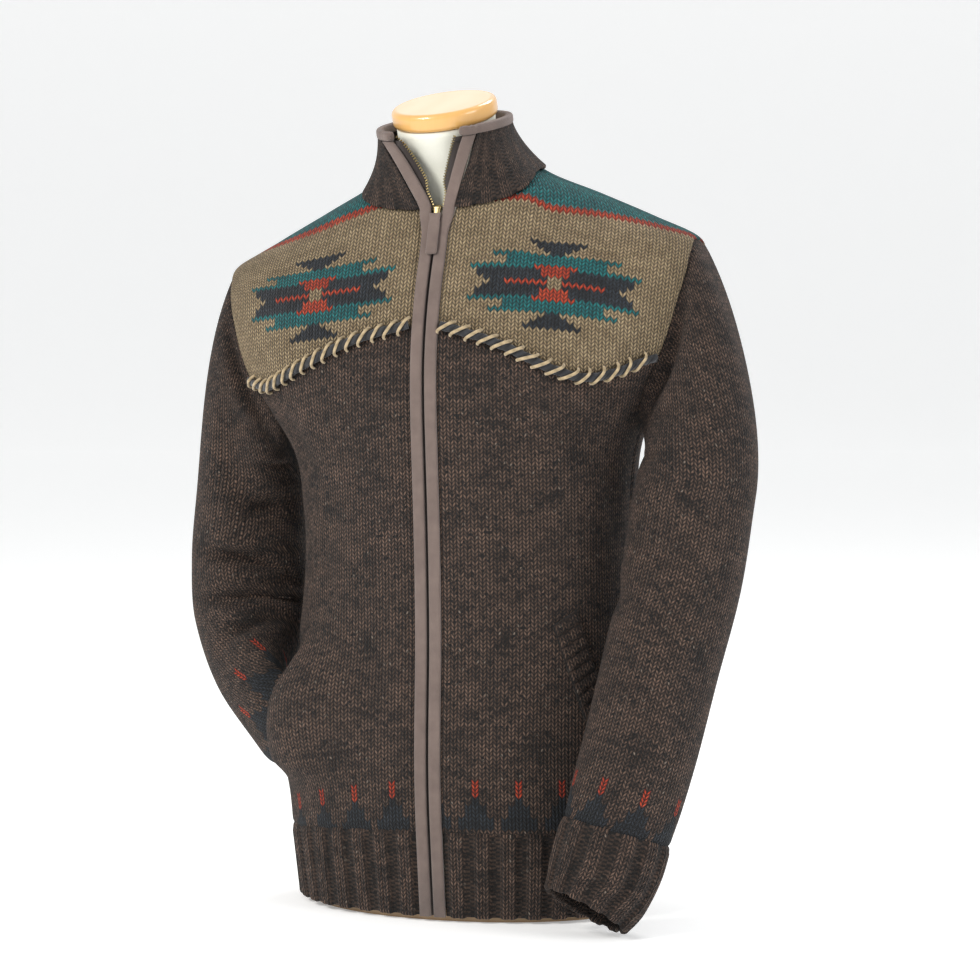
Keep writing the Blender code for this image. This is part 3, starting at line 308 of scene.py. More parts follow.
def run_along(points, axis):
    """Distance travelled along a grid's rows or columns: the running sum of the steps."""
    steps = np.linalg.norm(np.diff(points, axis=axis), axis=-1)
    return np.concatenate([np.zeros_like(np.take(steps, [0], axis=axis)), np.cumsum(steps, axis=axis)],
                          axis=axis)


def turned_out(shape):
    """The same arrays with all faces turned round if the volume inside them comes out negative."""
    points, faces, places, values, smooth = shape
    a, b, c, d = (points[faces[:, k]] for k in range(4))
    volume = np.einsum("ij,ij->i", a, np.cross(b, c)).sum() + np.einsum("ij,ij->i", a, np.cross(c, d)).sum()
    return shape if volume > 0 else (points, faces[:, ::-1], places[:, ::-1], values, smooth)


def end_fill(start, rows, round_edge, columns, count):
    """Quads that close the half circle at the ends of an open wall, from its two faces to its tip."""
    if start == 0:
        ring = np.concatenate([[0], np.arange(count - 1, count - 1 - round_edge, -1),
                               [2 * rows + round_edge - 1]])
    else:
        ring = np.concatenate([[rows - 1], np.arange(rows, rows + round_edge), [rows + round_edge]])
    half = (len(ring) - 1) // 2
    k = np.arange(half)
    fill = np.stack([ring[k], ring[k + 1], ring[-2 - k], ring[-1 - k]], axis=-1)
    left, right = fill * columns, fill * columns + columns - 1
    return np.concatenate([left if start else left[:, ::-1], right[:, ::-1] if start else right])


print("cloth walls are", WALL * 1000, "mm thick")

# %% [markdown]
# ## Where the pieces meet
# The zip runs down the middle. The yoke ends in a curved edge across the chest, the sleeve is set into an
# armhole, and the hem is sewn on below. Each of these lines is a row of (turn, height) pairs. A piece is
# the patch between its four lines: across and up it, each point mixes the opposite lines, less the
# corners, which both mixes have counted.

# %% Seam lines as rows of turn and height
HEM_BOTTOM, HEM_TOP, HEM_DIP, HEM_SINK = 0.0050, 0.0835, 0.014, 1.2 * MM
NECK_FRONT, NECK_SIDE, NECK_BACK, TIP_HEIGHT, UNDERARM = 0.661, 0.690, 0.703, 0.617, 0.452
SCOOP_FRONT, SCOOP_BACK = 20.0, 15.0
YOKE_PSI = 105.0            # how far round the armhole the yoke's lower edge meets it
NECK_SHARE = 5 / 14         # share of a yoke's top edge that follows the neck
ZIP_GAP, STRIP_WIDE = 1.3 * MM, 11.5 * MM
STRIP_EDGE = ZIP_GAP + STRIP_WIDE
NECK_OPEN, ZIP_OPEN_FROM = 4.5 * MM, 0.636
YOKE_EDGE = np.array([
    # share of the way from the zip to the armhole, height on the left, height on the right
    (0.00, 0.555, 0.557),
    (0.20, 0.535, 0.545),
    (0.42, 0.510, 0.526),
    (0.60, 0.499, 0.513),
    (0.75, 0.502, 0.506),
    (0.87, 0.509, 0.509),
    (1.00, 0.513, 0.513),
])
BACK_YOKE_EDGE = np.array([
    # share of the way from the middle of the back to the armhole, height
    (0.00, 0.530),
    (0.25, 0.537),
    (0.50, 0.536),
    (0.75, 0.524),
    (1.00, 0.513),
])


def pairs(turn, height):
    """Puts turn and height side by side, as rows."""
    turn, height = np.broadcast_arrays(np.asarray(turn, float), height)
    return np.stack([turn, height], axis=-1)


def coons(bottom, top, left, right, shares=None):
    """Mix of bottom and top up the patch, plus mix of left and right across it, minus the mixed corners."""
    u = np.linspace(0, 1, len(bottom))[None, :, None]
    v = (np.linspace(0, 1, len(left)) if shares is None else shares)[:, None, None]
    ruled = (1 - v) * bottom[None] + v * top[None] + (1 - u) * left[:, None] + u * right[:, None]
    return ruled - ((1 - v) * ((1 - u) * bottom[0] + u * bottom[-1]) + v * ((1 - u) * top[0] + u * top[-1]))


def zip_turn(height, offset):
    """The turn at which the section's x equals an offset: arcsin((offset / half width)^(1 / 0.9))."""
    return np.degrees(np.arcsin((offset / smooth(BODY, 1, height)) ** (1 / SQUARE)))


def zip_edge(height):
    """Distance of the knit's front edge from the middle: half a strip, plus the opening's S curve."""
    return STRIP_EDGE + NECK_OPEN * ease((height - ZIP_OPEN_FROM) / (NECK_FRONT - ZIP_OPEN_FROM))


def armhole(psi):
    """Height falls with the cosine of psi, and the turn swings to the front and the back with its sine."""
    a = np.radians(psi)
    height = TIP_HEIGHT - (TIP_HEIGHT - UNDERARM) * (1 - np.cos(a)) / 2
    wave = np.abs(np.sin(a)) ** 0.7
    return pairs(np.where(np.sin(a) > 0, 90 - SCOOP_FRONT * wave, 90 + SCOOP_BACK * wave), height)


def neckline(turn):
    """A sine squared from the front to the shoulder, and another from the shoulder to the back."""
    a = np.radians(turn)
    front = NECK_FRONT + (NECK_SIDE - NECK_FRONT) * np.sin(a) ** 2
    back = NECK_BACK + (NECK_SIDE - NECK_BACK) * np.sin(a) ** 2
    return np.where(np.asarray(turn) <= 90, front, back)


def shoulder_edge(start_turn, share):
    """Along the neck for the first share, then straight down the shoulder seam to the sleeve."""
    turn = start_turn + (90 - start_turn) * np.clip(share / NECK_SHARE, 0, 1)
    down = NECK_SIDE + (TIP_HEIGHT - NECK_SIDE) * (share - NECK_SHARE) / (1 - NECK_SHARE)
    return pairs(turn, np.where(share <= NECK_SHARE, neckline(turn), down))


def hem_seam(side, turn):
    """Height of the hem's seam: level, less a dip times sin(turn)^2 on the wearer's right."""
    return HEM_TOP - np.where(np.asarray(side) < 0, HEM_DIP, 0.0) * np.sin(np.radians(turn)) ** 2


def yoke_map(side, back, rows=40, columns=84):
    """(turn, height) over a yoke: lower edge, neck and shoulder, middle line, armhole."""
    seam = armhole((360 if back else 0) + (-1 if back else 1) * np.linspace(YOKE_PSI, 0, rows + 1))
    share = np.linspace(0, 1, columns + 1)
    if back:
        start, low = 180.0, BACK_YOKE_EDGE[0, 1]
        lower = pairs(start + (seam[0, 0] - start) * share, smooth(BACK_YOKE_EDGE, 1, share))
        middle = pairs(180.0, np.linspace(low, NECK_BACK, rows + 1))
        return coons(lower, shoulder_edge(180.0, share), middle, seam)
    column = 1 if side > 0 else 2
    low = YOKE_EDGE[0, column]
    start = float(zip_turn(low, STRIP_EDGE))
    lower = pairs(start + (seam[0, 0] - start) * share, smooth(YOKE_EDGE, column, share))
    rise = np.linspace(low, NECK_FRONT, rows + 1)
    top = shoulder_edge(float(zip_turn(NECK_FRONT, zip_edge(NECK_FRONT))), share)
    top[0, 1] = NECK_FRONT
    return coons(lower, top, pairs(zip_turn(rise, zip_edge(rise)), rise), seam)


def panel_map(side, back, rows=110, columns=95):
    """(turn, height) over a panel: hem seam, yoke edge and underarm, zip or middle of the back, side
    seam."""
    edge = yoke_map(side, back, 2, 70)[0]
    sweep = np.linspace(YOKE_PSI, 180, columns - 70 + 1)[1:]
    top = np.concatenate([edge, armhole(360 - sweep if back else sweep)])
    share = np.linspace(0, 1, len(top)) ** 0.92
    start = 180.0 if back else float(zip_turn(HEM_TOP, STRIP_EDGE))
    round_hem = start + (90 - start) * share
    bottom = pairs(round_hem, hem_seam(side, round_hem))
    shares = np.linspace(0, 1, rows + 1)
    rise = bottom[0, 1] + (top[0, 1] - bottom[0, 1]) * shares
    seam = bottom[-1, 1] + (UNDERARM - bottom[-1, 1]) * shares
    left = pairs(180.0 if back else zip_turn(rise, STRIP_EDGE), rise)
    return coons(bottom, top, left, pairs(90, seam), shares)


print("yoke grid:", yoke_map(1, False).shape, "panel grid:", panel_map(1, False).shape)

# %% [markdown]
# ## Sleeves
# A sleeve is a tube. Its rings follow a centre line that bends, and each ring has its own two half sizes.
# The top of the tube blends from the armhole's ring to the first plain ring with a cubic that leaves the
# armhole in the arm's direction. One arm hangs, and the other bends so that its cuff rests in a pocket.

# %% Rings of the sleeves and cuffs
SLEEVES = {
    # side: rows of share, centre x, y, z, half size outward, half size to the front, way out x, y, z.
    1: np.array([
        (0.32, 0.2315, -0.040, 0.405, 0.057, 0.055, 1.0, 0.30, 0.0),
        (0.50, 0.2225, -0.053, 0.320, 0.056, 0.052, 1.0, 0.30, 0.0),
        (0.66, 0.2105, -0.076, 0.245, 0.054, 0.050, 1.0, 0.30, 0.0),
        (0.83, 0.1965, -0.099, 0.165, 0.053, 0.047, 1.0, 0.30, 0.0),
        (0.92, 0.1875, -0.108, 0.125, 0.052, 0.045, 1.0, 0.30, 0.0),
        (1.00, 0.1800, -0.115, 0.093, 0.050, 0.042, 1.0, 0.30, 0.0),
        (1.06, 0.1740, -0.121, 0.068, 0.050, 0.040, 1.0, 0.30, 0.0),
        (1.12, 0.1665, -0.128, 0.044, 0.047, 0.035, 1.0, 0.30, 0.0),
        (1.18, 0.1585, -0.138, 0.0255, 0.041, 0.030, 1.0, 0.30, 0.0),
    ]),
    -1: np.array([
        (0.30, -0.2290, 0.014, 0.395, 0.050, 0.058, -1.0, 0.10, 0.0),
        (0.50, -0.2340, 0.014, 0.315, 0.052, 0.060, -1.0, 0.05, 0.0),
        (0.64, -0.2300, 0.002, 0.262, 0.049, 0.060, -1.0, -0.10, 0.0),
        (0.78, -0.2140, -0.022, 0.213, 0.036, 0.058, -1.0, -0.35, 0.0),
        (0.90, -0.1850, -0.048, 0.181, 0.019, 0.052, -0.9, -0.45, 0.0),
        (1.00, -0.1605, -0.0685, 0.173, 0.0110, 0.041, -0.8, -0.60, 0.0),
        (1.08, -0.1370, -0.0810, 0.172, 0.0100, 0.036, -0.7, -0.75, 0.0),
        (1.16, -0.1145, -0.0900, 0.171, 0.0095, 0.032, -0.55, -0.85, 0.0),
    ]),
}
FOLDS = {
    # side: rows of share, middle angle, slant (share a degree), half width in share, half length in
    # degrees, depth
    1: [
        (0.30, 150.0, 0.0006, 0.030, 60.0, 0.006),
        (0.56, 170.0, -0.0004, 0.028, 55.0, 0.004),
    ],
    -1: [
        (0.34, 130.0, 0.0010, 0.032, 65.0, 0.010),
        (0.50, 120.0, 0.0007, 0.026, 75.0, 0.012),
        (0.61, 110.0, 0.0000, 0.022, 80.0, 0.016),
        (0.72, 95.0, -0.0007, 0.024, 75.0, 0.010),
    ],
}


def tube(side, share, psi, fold_rows=()):
    """Centre + half size * cos(psi) * way out + half size * sin(psi) * way to the front, less the folds'
    depth."""
    table = SLEEVES[side]
    share, angle = np.asarray(share, float)[:, None], np.radians(psi)[None, :]
    centre = np.stack([smooth(table, k, share) for k in (1, 2, 3)], axis=-1)
    along = unit(np.stack([smooth(table, k, share + 0.01) - smooth(table, k, share - 0.01)
                           for k in (1, 2, 3)], axis=-1))
    hint = np.stack([smooth(table, k, share) for k in (6, 7, 8)], axis=-1)
    out = unit(hint - (hint * along).sum(-1, keepdims=True) * along)
    front = side * np.cross(along, out)
    sunk = 0.0
    for at, middle, slant, half_share, half_turn, depth in fold_rows:
        away = (np.asarray(psi)[None, :] - middle + 180.0) % 360.0 - 180.0
        reach = np.cos(np.clip(away / half_turn, -1, 1) * math.pi / 2) ** 2
        sunk = sunk + depth * reach * np.exp(-((share - at - slant * away) / half_share) ** 2)
    a = (smooth(table, 4, share) - sunk) * np.cos(angle)
    b = (smooth(table, 5, share) - sunk) * np.sin(angle)
    return centre + a[..., None] * out + b[..., None] * front


def sleeve_points(side, psi, rows_top, rows):
    """A cubic blend from the armhole ring to the table's first ring, then the table's rings."""
    low = np.linspace(SLEEVES[side][0, 0], 1.0, rows)
    lower = tube(side, low, psi, FOLDS[side])
    ring = armhole(psi)
    start = body_point(side, ring[:, 0], ring[:, 1])
    a = np.radians(psi)
    reach = 0.9 * np.linalg.norm(lower[0] - start, axis=-1, keepdims=True)
    away = reach * unit(np.stack([side * (0.40 + (0.06 + 0.04 * side) * np.cos(a)), -0.25 * np.sin(a),
                                  np.full_like(a, -0.90)], axis=-1))
    onward = reach * unit(lower[5] - lower[0])
    u = np.linspace(0, 1, rows_top + 1)[:-1, None, None]
    upper = (start * (1 + 2 * u) * (1 - u) ** 2 + away * u * (1 - u) ** 2
             + lower[0] * u * u * (3 - 2 * u) - onward * u * u * (1 - u))
    return np.concatenate([upper, lower])


def armhole_direction(side, psi):
    """The mean of the body's way out, the sleeve's way out, and down under the arm, smoothed once round."""
    ring = armhole(psi)
    sleeve = outward(sleeve_points(side, psi, 8, 40),
                     grid_normals(sleeve_points(side, psi, 8, 40), True))[0]
    down = (0.5 - 0.5 * np.cos(np.radians(psi)))[:, None] ** 2 * np.array([0.0, 0.0, -0.9])
    ways = unit(body_normal(side, ring[:, 0], ring[:, 1]) + sleeve + down)
    for _ in range(4):
        ways = unit(2 * ways + np.roll(ways, 1, axis=0) + np.roll(ways, -1, axis=0))
    return ways


RING = np.arange(120) * 3.0
ARMHOLE_WAYS = {side: armhole_direction(side, RING) for side in (1, -1)}


def armhole_way(side, psi):
    """The armhole's shared direction at any place round it, read between its 120 places."""
    psi = np.asarray(psi, float) % 360.0
    ways = ARMHOLE_WAYS[side]
    closed = np.concatenate([ways, ways[:1]])
    return unit(np.stack([np.interp(psi, np.append(RING, 360.0), closed[:, k]) for k in range(3)], axis=-1))


print("sleeve rings:", sleeve_points(1, RING, 8, 40).shape)

# %% [markdown]
# ## Seams and creases
# Where two knitted pieces are joined, the cloth dips into the seam. That is a smooth ditch along the
# edge: the depth times one minus the S curve of the distance. A crease is a long soft trough with a
# ridge beside it. Each one is given by where its middle is, which way it runs and how far.

# %% Dips at the seams, and creases
SEAM_DEPTH, SEAM_REACH = 1.6 * MM, 6.0 * MM


def edge_distance(points, edges):
    """Distance to the nearest of the named edges, measured along the grid."""
    up, across = run_along(points, 0), run_along(points, 1)
    far = {"bottom": up, "top": up[-1:] - up, "start": across, "end": across[:, -1:] - across}
    return np.min([np.broadcast_to(far[name], up.shape) for name in edges], axis=0)


def sink_seams(points, normals, edges, depth=SEAM_DEPTH, reach=SEAM_REACH):
    """Moves a grid's edges inward by depth * (1 - S curve of the distance / reach)."""
    dip = depth * (1 - ease(edge_distance(points, edges) / reach))
    return points - dip[..., None] * normals


def creases(u, v, rows):
    """Sum of troughs: depth * exp(-(across / width)^2) * cos^2 along each, with a ridge at one side."""
    total = np.zeros_like(u)
    for at_u, at_v, lean, length, width, depth, ridge in rows:
        a = math.radians(lean)
        along = (u - at_u) * math.cos(a) + (v - at_v) * math.sin(a)
        across = -(u - at_u) * math.sin(a) + (v - at_v) * math.cos(a)
        reach = np.cos(np.clip(along / length, -1, 1) * math.pi / 2) ** 2
        total -= depth * reach * np.exp(-(across / width) ** 2)
        total += ridge * reach * np.exp(-((across - 1.9 * width) / (1.2 * width)) ** 2)
    return total


print("seams dip", SEAM_DEPTH * 1000, "mm over", SEAM_REACH * 1000, "mm")

# %% [markdown]
# ## Wiring materials
# Every finish here is a Principled shader fed by a few small node groups. These helpers add one node at
# a time: a number or colour goes into a socket as it is, and another node's output is linked to it.

# %% Helpers that wire nodes
def feed(tree, socket, value):
    """Links a socket to a value, or sets the value on it."""
    if isinstance(value, bpy.types.NodeSocket):
        tree.links.new(value, socket)
    else:
        socket.default_value = value


def calc(tree, operation, *values, clamp=False):
    """One Math node: operation(values)."""
    node = tree.nodes.new("ShaderNodeMath")
    node.operation, node.use_clamp = operation, clamp
    for socket, value in zip(node.inputs, values):
        feed(tree, socket, value)
    return node.outputs[0]


def mix(tree, share, first, second):
    """first * (1 - share) + second * share, for colours."""
    node = tree.nodes.new("ShaderNodeMix")
    node.data_type = "RGBA"
    for socket, value in zip((node.inputs[0], node.inputs[6], node.inputs[7]), (share, first, second)):
        feed(tree, socket, value)
    return node.outputs[2]


def noise(tree, vector, scale, detail=2.0, rough=0.5):
    """Noise of a place, at a scale in turns a metre."""
    node = tree.nodes.new("ShaderNodeTexNoise")
    feed(tree, node.inputs["Vector"], vector)
    node.inputs["Scale"].default_value = scale
    node.inputs["Detail"].default_value = detail
    node.inputs["Roughness"].default_value = rough
    return node.outputs["Fac"]


def pack(tree, x, y, z=0.0):
    """Three numbers as one vector."""
    node = tree.nodes.new("ShaderNodeCombineXYZ")
    for socket, value in zip(node.inputs, (x, y, z)):
        feed(tree, socket, value)
    return node.outputs[0]


def chance(tree, x, y, seed=0.0):
    """A random number for each whole pair of numbers."""
    node = tree.nodes.new("ShaderNodeTexWhiteNoise")
    node.noise_dimensions = "3D"
    feed(tree, node.inputs["Vector"], pack(tree, x, y, seed))
    return node.outputs["Value"]


def steps(tree, value, stops):
    """A ramp with no blending: each stop's colour holds until the next one."""
    node = tree.nodes.new("ShaderNodeValToRGB")
    node.color_ramp.interpolation = "CONSTANT"
    ramp = node.color_ramp.elements
    ramp.remove(ramp[1])
    for k, (place, colour) in enumerate(stops):
        stop = ramp[0] if k == 0 else ramp.new(place)
        stop.position, stop.color = place, (*colour, 1.0)
    feed(tree, node.inputs[0], value)
    split = tree.nodes.new("ShaderNodeSeparateColor")
    tree.links.new(node.outputs[0], split.inputs[0])
    return split.outputs


def group(name, inputs, outputs):
    """A new node group with number sockets, and its two end nodes."""
    tree = bpy.data.node_groups.new(name, "ShaderNodeTree")
    for label in inputs:
        tree.interface.new_socket(label, in_out="INPUT", socket_type="NodeSocketFloat")
    for label in outputs:
        tree.interface.new_socket(label, in_out="OUTPUT", socket_type="NodeSocketFloat")
    return tree, tree.nodes.new("NodeGroupInput").outputs, tree.nodes.new("NodeGroupOutput").inputs


def place(tree, made, **values):
    """Puts a group into a tree with its own values, and returns its outputs."""
    node = tree.nodes.new("ShaderNodeGroup")
    node.node_tree = made
    for label, value in values.items():
        feed(tree, node.inputs[label], value)
    return node.outputs


print("node helpers ready")

# %% [markdown]
# ## Stocking stitch
# A column of stitches is called a wale. Across one wale, each stitch is a V whose two legs rise from the
# middle to the sides. So the row that a point belongs to is its height in rows less a lean times its
# distance from the wale's middle, and the whole number of that is the stitch's row. Colour changes at
# those edges too, which gives charted patterns their saw-toothed edge.

# %% The stitch group
stitches, wool_in, wool_out = group("stocking stitch", ("Wales", "Rows", "Lean"),
                                    ("Height", "Column", "Row", "Across"))
across = calc(stitches, "ABSOLUTE",
              calc(stitches, "MULTIPLY_ADD", calc(stitches, "FRACT", wool_in["Wales"]), 2.0, -1.0))
phase = calc(stitches, "SUBTRACT", wool_in["Rows"], calc(stitches, "MULTIPLY", across, wool_in["Lean"]))
leg = calc(stitches, "POWER", calc(stitches, "SINE", calc(stitches, "MULTIPLY", across, math.pi)), 0.75)
strand = calc(stitches, "POWER",
              calc(stitches, "SINE", calc(stitches, "MULTIPLY", calc(stitches, "FRACT", phase), math.pi)),
              0.80)
feed(stitches, wool_out["Height"], calc(stitches, "MULTIPLY", leg, strand))
feed(stitches, wool_out["Column"], calc(stitches, "FLOOR", wool_in["Wales"]))
feed(stitches, wool_out["Row"], calc(stitches, "FLOOR", phase))
feed(stitches, wool_out["Across"], across)
print("group:", stitches.name)

# %% [markdown]
# ## Marled yarn
# The yarn is spun from light and dark fleece. Each stitch has its own tone, finer mottling runs along the
# strand, and a few stitches show a nearly white or nearly black neb. Random numbers by stitch give the
# first and the last, and a stretched noise gives the mottling.

# %% The yarn group
marl, marl_in, marl_out = group("marled yarn", ("Wales", "Rows", "Column", "Row"),
                                ("Tone", "Light neb", "Dark neb"))
own = chance(marl, marl_in["Column"], marl_in["Row"])
streak = noise(marl, pack(marl, marl_in["Wales"], calc(marl, "MULTIPLY", marl_in["Rows"], 0.45)), 3.4, 3.0,
               0.75)
broad = noise(marl, pack(marl, marl_in["Wales"], marl_in["Rows"]), 0.16, 2.0)
tone = calc(marl, "ADD", calc(marl, "MULTIPLY", own, 0.45), calc(marl, "MULTIPLY", streak, 1.5))
tone = calc(marl, "ADD", tone, calc(marl, "MULTIPLY_ADD", broad, 0.9, -1.04))
feed(marl, marl_out["Tone"], calc(marl, "ADD", tone, 0.0, clamp=True))
fine_x = calc(marl, "FLOOR", calc(marl, "MULTIPLY", marl_in["Wales"], 2.7))
fine_y = calc(marl, "FLOOR", calc(marl, "MULTIPLY", marl_in["Rows"], 1.6))
neb = chance(marl, fine_x, fine_y, 4.0)
feed(marl, marl_out["Light neb"], calc(marl, "GREATER_THAN", neb, 0.993))
feed(marl, marl_out["Dark neb"], calc(marl, "LESS_THAN", neb, 0.05))
print("group:", marl.name)

# %% [markdown]
# ## The diamond chart
# The yoke's figure is a stepped diamond, a traditional one that a knitter reads from a chart. It is the
# same above and below its middle row, and the same to the left and right. So the chart needs one line a
# row: how many stitches each colour reaches from the middle. Stepped ramps hold those numbers.

# %% The diamond, row by row
DIAMOND = [
    # rows from the middle, teal reach, charcoal reach, red reach, tan reach, red starts at
    (0, 0, 9, 7, 1, 1),
    (1, 0, 10, 0, 1, 0),
    (2, 0, 11, 2, 0, 0),
    (3, 0, 11, 2, 0, 0),
    (4, 12, 0, 3, 0, 0),
    (5, 7, 0, 0, 0, 0),
    (6, 7, 0, 0, 0, 0),
    (7, 9, 0, 0, 0, 0),
    (8, 0, 1, 0, 0, 0),
    (9, 0, 2, 0, 0, 0),
    (10, 0, 3, 0, 0, 0),
    (11, 0, 4, 0, 0, 0),
    (12, 0, 0, 0, 0, 0),
]
REACH = 16.0                # the most stitches or rows that a ramp can hold
diamond, chart_in, chart_out = group("diamond chart", ("Column", "Row"), ("Teal", "Charcoal", "Red", "Tan"))
side_step = calc(diamond, "ABSOLUTE", calc(diamond, "ADD", chart_in["Column"], 0.5))
row_step = calc(diamond, "ABSOLUTE", chart_in["Row"])
key = calc(diamond, "DIVIDE", calc(diamond, "ADD", row_step, 0.5), REACH, clamp=True)
first = steps(diamond, key, [(r / REACH, (t / REACH, c / REACH, d / REACH)) for r, t, c, d, _,
                             _ in DIAMOND])
second = steps(diamond, key, [(r / REACH, (n / REACH, s / REACH, 0.0)) for r, _, _, _, n, s in DIAMOND])


def within(tree, reach):
    """1 where the stitch's distance from the middle is under the reach on the chart."""
    return calc(tree, "LESS_THAN", side_step, calc(tree, "MULTIPLY", reach, REACH))


feed(diamond, chart_out["Teal"], within(diamond, first[0]))
feed(diamond, chart_out["Charcoal"], within(diamond, first[1]))
red_reach = within(diamond, first[2])
feed(diamond, chart_out["Red"],
     calc(diamond, "MULTIPLY", red_reach, calc(diamond, "SUBTRACT", 1.0, within(diamond, second[1]))))
feed(diamond, chart_out["Tan"], within(diamond, second[0]))
print("diamond chart:", len(DIAMOND) * 2 - 1, "rows")

# %% [markdown]
# ## The row of peaks
# Above the hem and the cuffs runs a row of charcoal peaks with red tips, six stitches apart. A peak is
# five stitches wide at its foot, then three, then one. Folding the stitch number at every third stitch
# gives the distance from the nearest peak's middle.

# %% The peaks, row by row
PEAK_REPEAT, PEAK_FOOT = 6.0, 1.0       # stitches from peak to peak, plain rows under it
peaks, peak_in, peak_out = group("row of peaks", ("Column", "Row"), ("Charcoal", "Red"))
turned = calc(peaks, "FLOORED_MODULO", calc(peaks, "ADD", peak_in["Column"], PEAK_REPEAT / 2), PEAK_REPEAT)
from_peak = calc(peaks, "ABSOLUTE", calc(peaks, "SUBTRACT", turned, PEAK_REPEAT / 2))
level = calc(peaks, "SUBTRACT", peak_in["Row"], PEAK_FOOT)
above_foot = calc(peaks, "GREATER_THAN", level, -0.5)
wide = calc(peaks, "SUBTRACT", calc(peaks, "SUBTRACT", 2.5, calc(peaks, "GREATER_THAN", level, 2.5)),
            calc(peaks, "GREATER_THAN", level, 5.5))
dark = calc(peaks, "MULTIPLY", calc(peaks, "LESS_THAN", from_peak, wide),
            calc(peaks, "LESS_THAN", level, 7.5))
feed(peaks, peak_out["Charcoal"], calc(peaks, "MULTIPLY", dark, above_foot))
tip = calc(peaks, "MULTIPLY", calc(peaks, "GREATER_THAN", level, 7.5),
           calc(peaks, "LESS_THAN", level, 11.5))
feed(peaks, peak_out["Red"], calc(peaks, "MULTIPLY", tip, calc(peaks, "LESS_THAN", from_peak, 0.5)))
print("peaks are", PEAK_REPEAT, "stitches apart")

# %% [markdown]
# ## Wool finishes
# The same stitch and yarn groups make every knitted finish. Colours differ by piece: brown with a row of
# peaks, tan with the diamond and a teal shoulder, or plain brown ribbing, whose sunk ribs show the backs
# of the stitches as short bars. The gaps between the strands are darkened, since light doesn't reach
# down there, and a little sheen stands for the fuzz.

# %% Colours of the wools
BROWN_DARK, BROWN_LIGHT = (0.018, 0.008, 0.004, 1), (0.330, 0.200, 0.140, 1)
NEB_LIGHT, NEB_DARK = (0.270, 0.205, 0.160, 1), (0.016, 0.009, 0.006, 1)
TAN_DARK, TAN_LIGHT = (0.340, 0.240, 0.125, 1), (0.740, 0.560, 0.330, 1)
TEAL_DARK, TEAL_LIGHT = (0.006, 0.120, 0.130, 1), (0.020, 0.320, 0.320, 1)
RED_DARK, RED_LIGHT = (0.480, 0.040, 0.012, 1), (0.860, 0.110, 0.035, 1)
CHARCOAL_DARK, CHARCOAL_LIGHT = (0.008, 0.010, 0.014, 1), (0.052, 0.066, 0.086, 1)
WALE, ROW = 6.75 * MM, 3.85 * MM
YOKE_WALE, YOKE_ROW = 6.75 * MM, 3.60 * MM


def finish(name, rough=0.9, sheen=0.0, metal=0.0):
    """A new material: its tree and its Principled shader."""
    made = bpy.data.materials.new(name)
    made.use_nodes = True
    tree = made.node_tree
    shader = tree.nodes["Principled BSDF"]
    shader.inputs["Roughness"].default_value = rough
    shader.inputs["Metallic"].default_value = metal
    shader.inputs["Sheen Weight"].default_value = sheen
    shader.inputs["Sheen Roughness"].default_value = 0.6
    return made, tree, shader


def cloth_place(tree):
    """The two numbers of the cloth's own map, metres across and metres up."""
    node = tree.nodes.new("ShaderNodeUVMap")
    node.uv_map = "cloth"
    split = tree.nodes.new("ShaderNodeSeparateXYZ")
    tree.links.new(node.outputs[0], split.inputs[0])
    return split.outputs[0], split.outputs[1]


def value_of(tree, name):
    """Reads one of the piece's own values."""
    node = tree.nodes.new("ShaderNodeAttribute")
    node.attribute_name = name
    return node.outputs["Fac"]


def bump(tree, shader, height, distance, strength=1.0):
    """Tilts the shader's normal by a height that is worth `distance` metres at 1."""
    node = tree.nodes.new("ShaderNodeBump")
    node.inputs["Strength"].default_value = strength
    node.inputs["Distance"].default_value = distance
    feed(tree, node.inputs["Height"], height)
    tree.links.new(node.outputs[0], shader.inputs["Normal"])


def fuzz(tree):
    """Fine noise for the fibres that stand off the yarn."""
    node = tree.nodes.new("ShaderNodeTexCoord")
    return noise(tree, node.outputs["Object"], 900.0, 2.0, 0.7)


def shade_gaps(tree, colour, height, deep=0.03, power=1.55):
    """The colour times a factor that falls from 1 on the strands to `deep` between them."""
    lit = calc(tree, "MULTIPLY_ADD", calc(tree, "POWER", height, power), 1.0 - deep, deep)
    return mix(tree, lit, (0.0, 0.0, 0.0, 1), colour)


def two_tone(tree, tone, dark, light):
    """dark + tone * (light - dark)."""
    return mix(tree, tone, dark, light)


def brown_yarn(tree, spun):
    """The marled brown with its light and dark nebs laid over it."""
    colour = two_tone(tree, spun["Tone"], BROWN_DARK, BROWN_LIGHT)
    colour = mix(tree, spun["Light neb"], colour, NEB_LIGHT)
    return mix(tree, spun["Dark neb"], colour, NEB_DARK)


def wool_body():
    """Brown stocking stitch, with the row of peaks counted from the piece's lower seam."""
    made, tree, shader = finish("brown wool with peaks", 0.95, 0.03)
    u, v = cloth_place(tree)
    wales, rows = calc(tree, "DIVIDE", u, WALE), calc(tree, "DIVIDE", v, ROW)
    knit = place(tree, stitches, Wales=wales, Rows=rows, Lean=1.0)
    spun = place(tree, marl, Wales=wales, Rows=rows, Column=knit["Column"], Row=knit["Row"])
    colour = brown_yarn(tree, spun)
    chart = place(tree, peaks, Column=knit["Column"], Row=knit["Row"])
    colour = mix(tree, chart["Charcoal"], colour,
                 two_tone(tree, spun["Tone"], CHARCOAL_DARK, CHARCOAL_LIGHT))
    colour = mix(tree, chart["Red"], colour, two_tone(tree, spun["Tone"], RED_DARK, RED_LIGHT))
    feed(tree, shader.inputs["Base Color"], shade_gaps(tree, colour, knit["Height"]))
    height = calc(tree, "MULTIPLY_ADD", fuzz(tree), 0.35, knit["Height"])
    bump(tree, shader, height, 2.6 * MM)
    return made


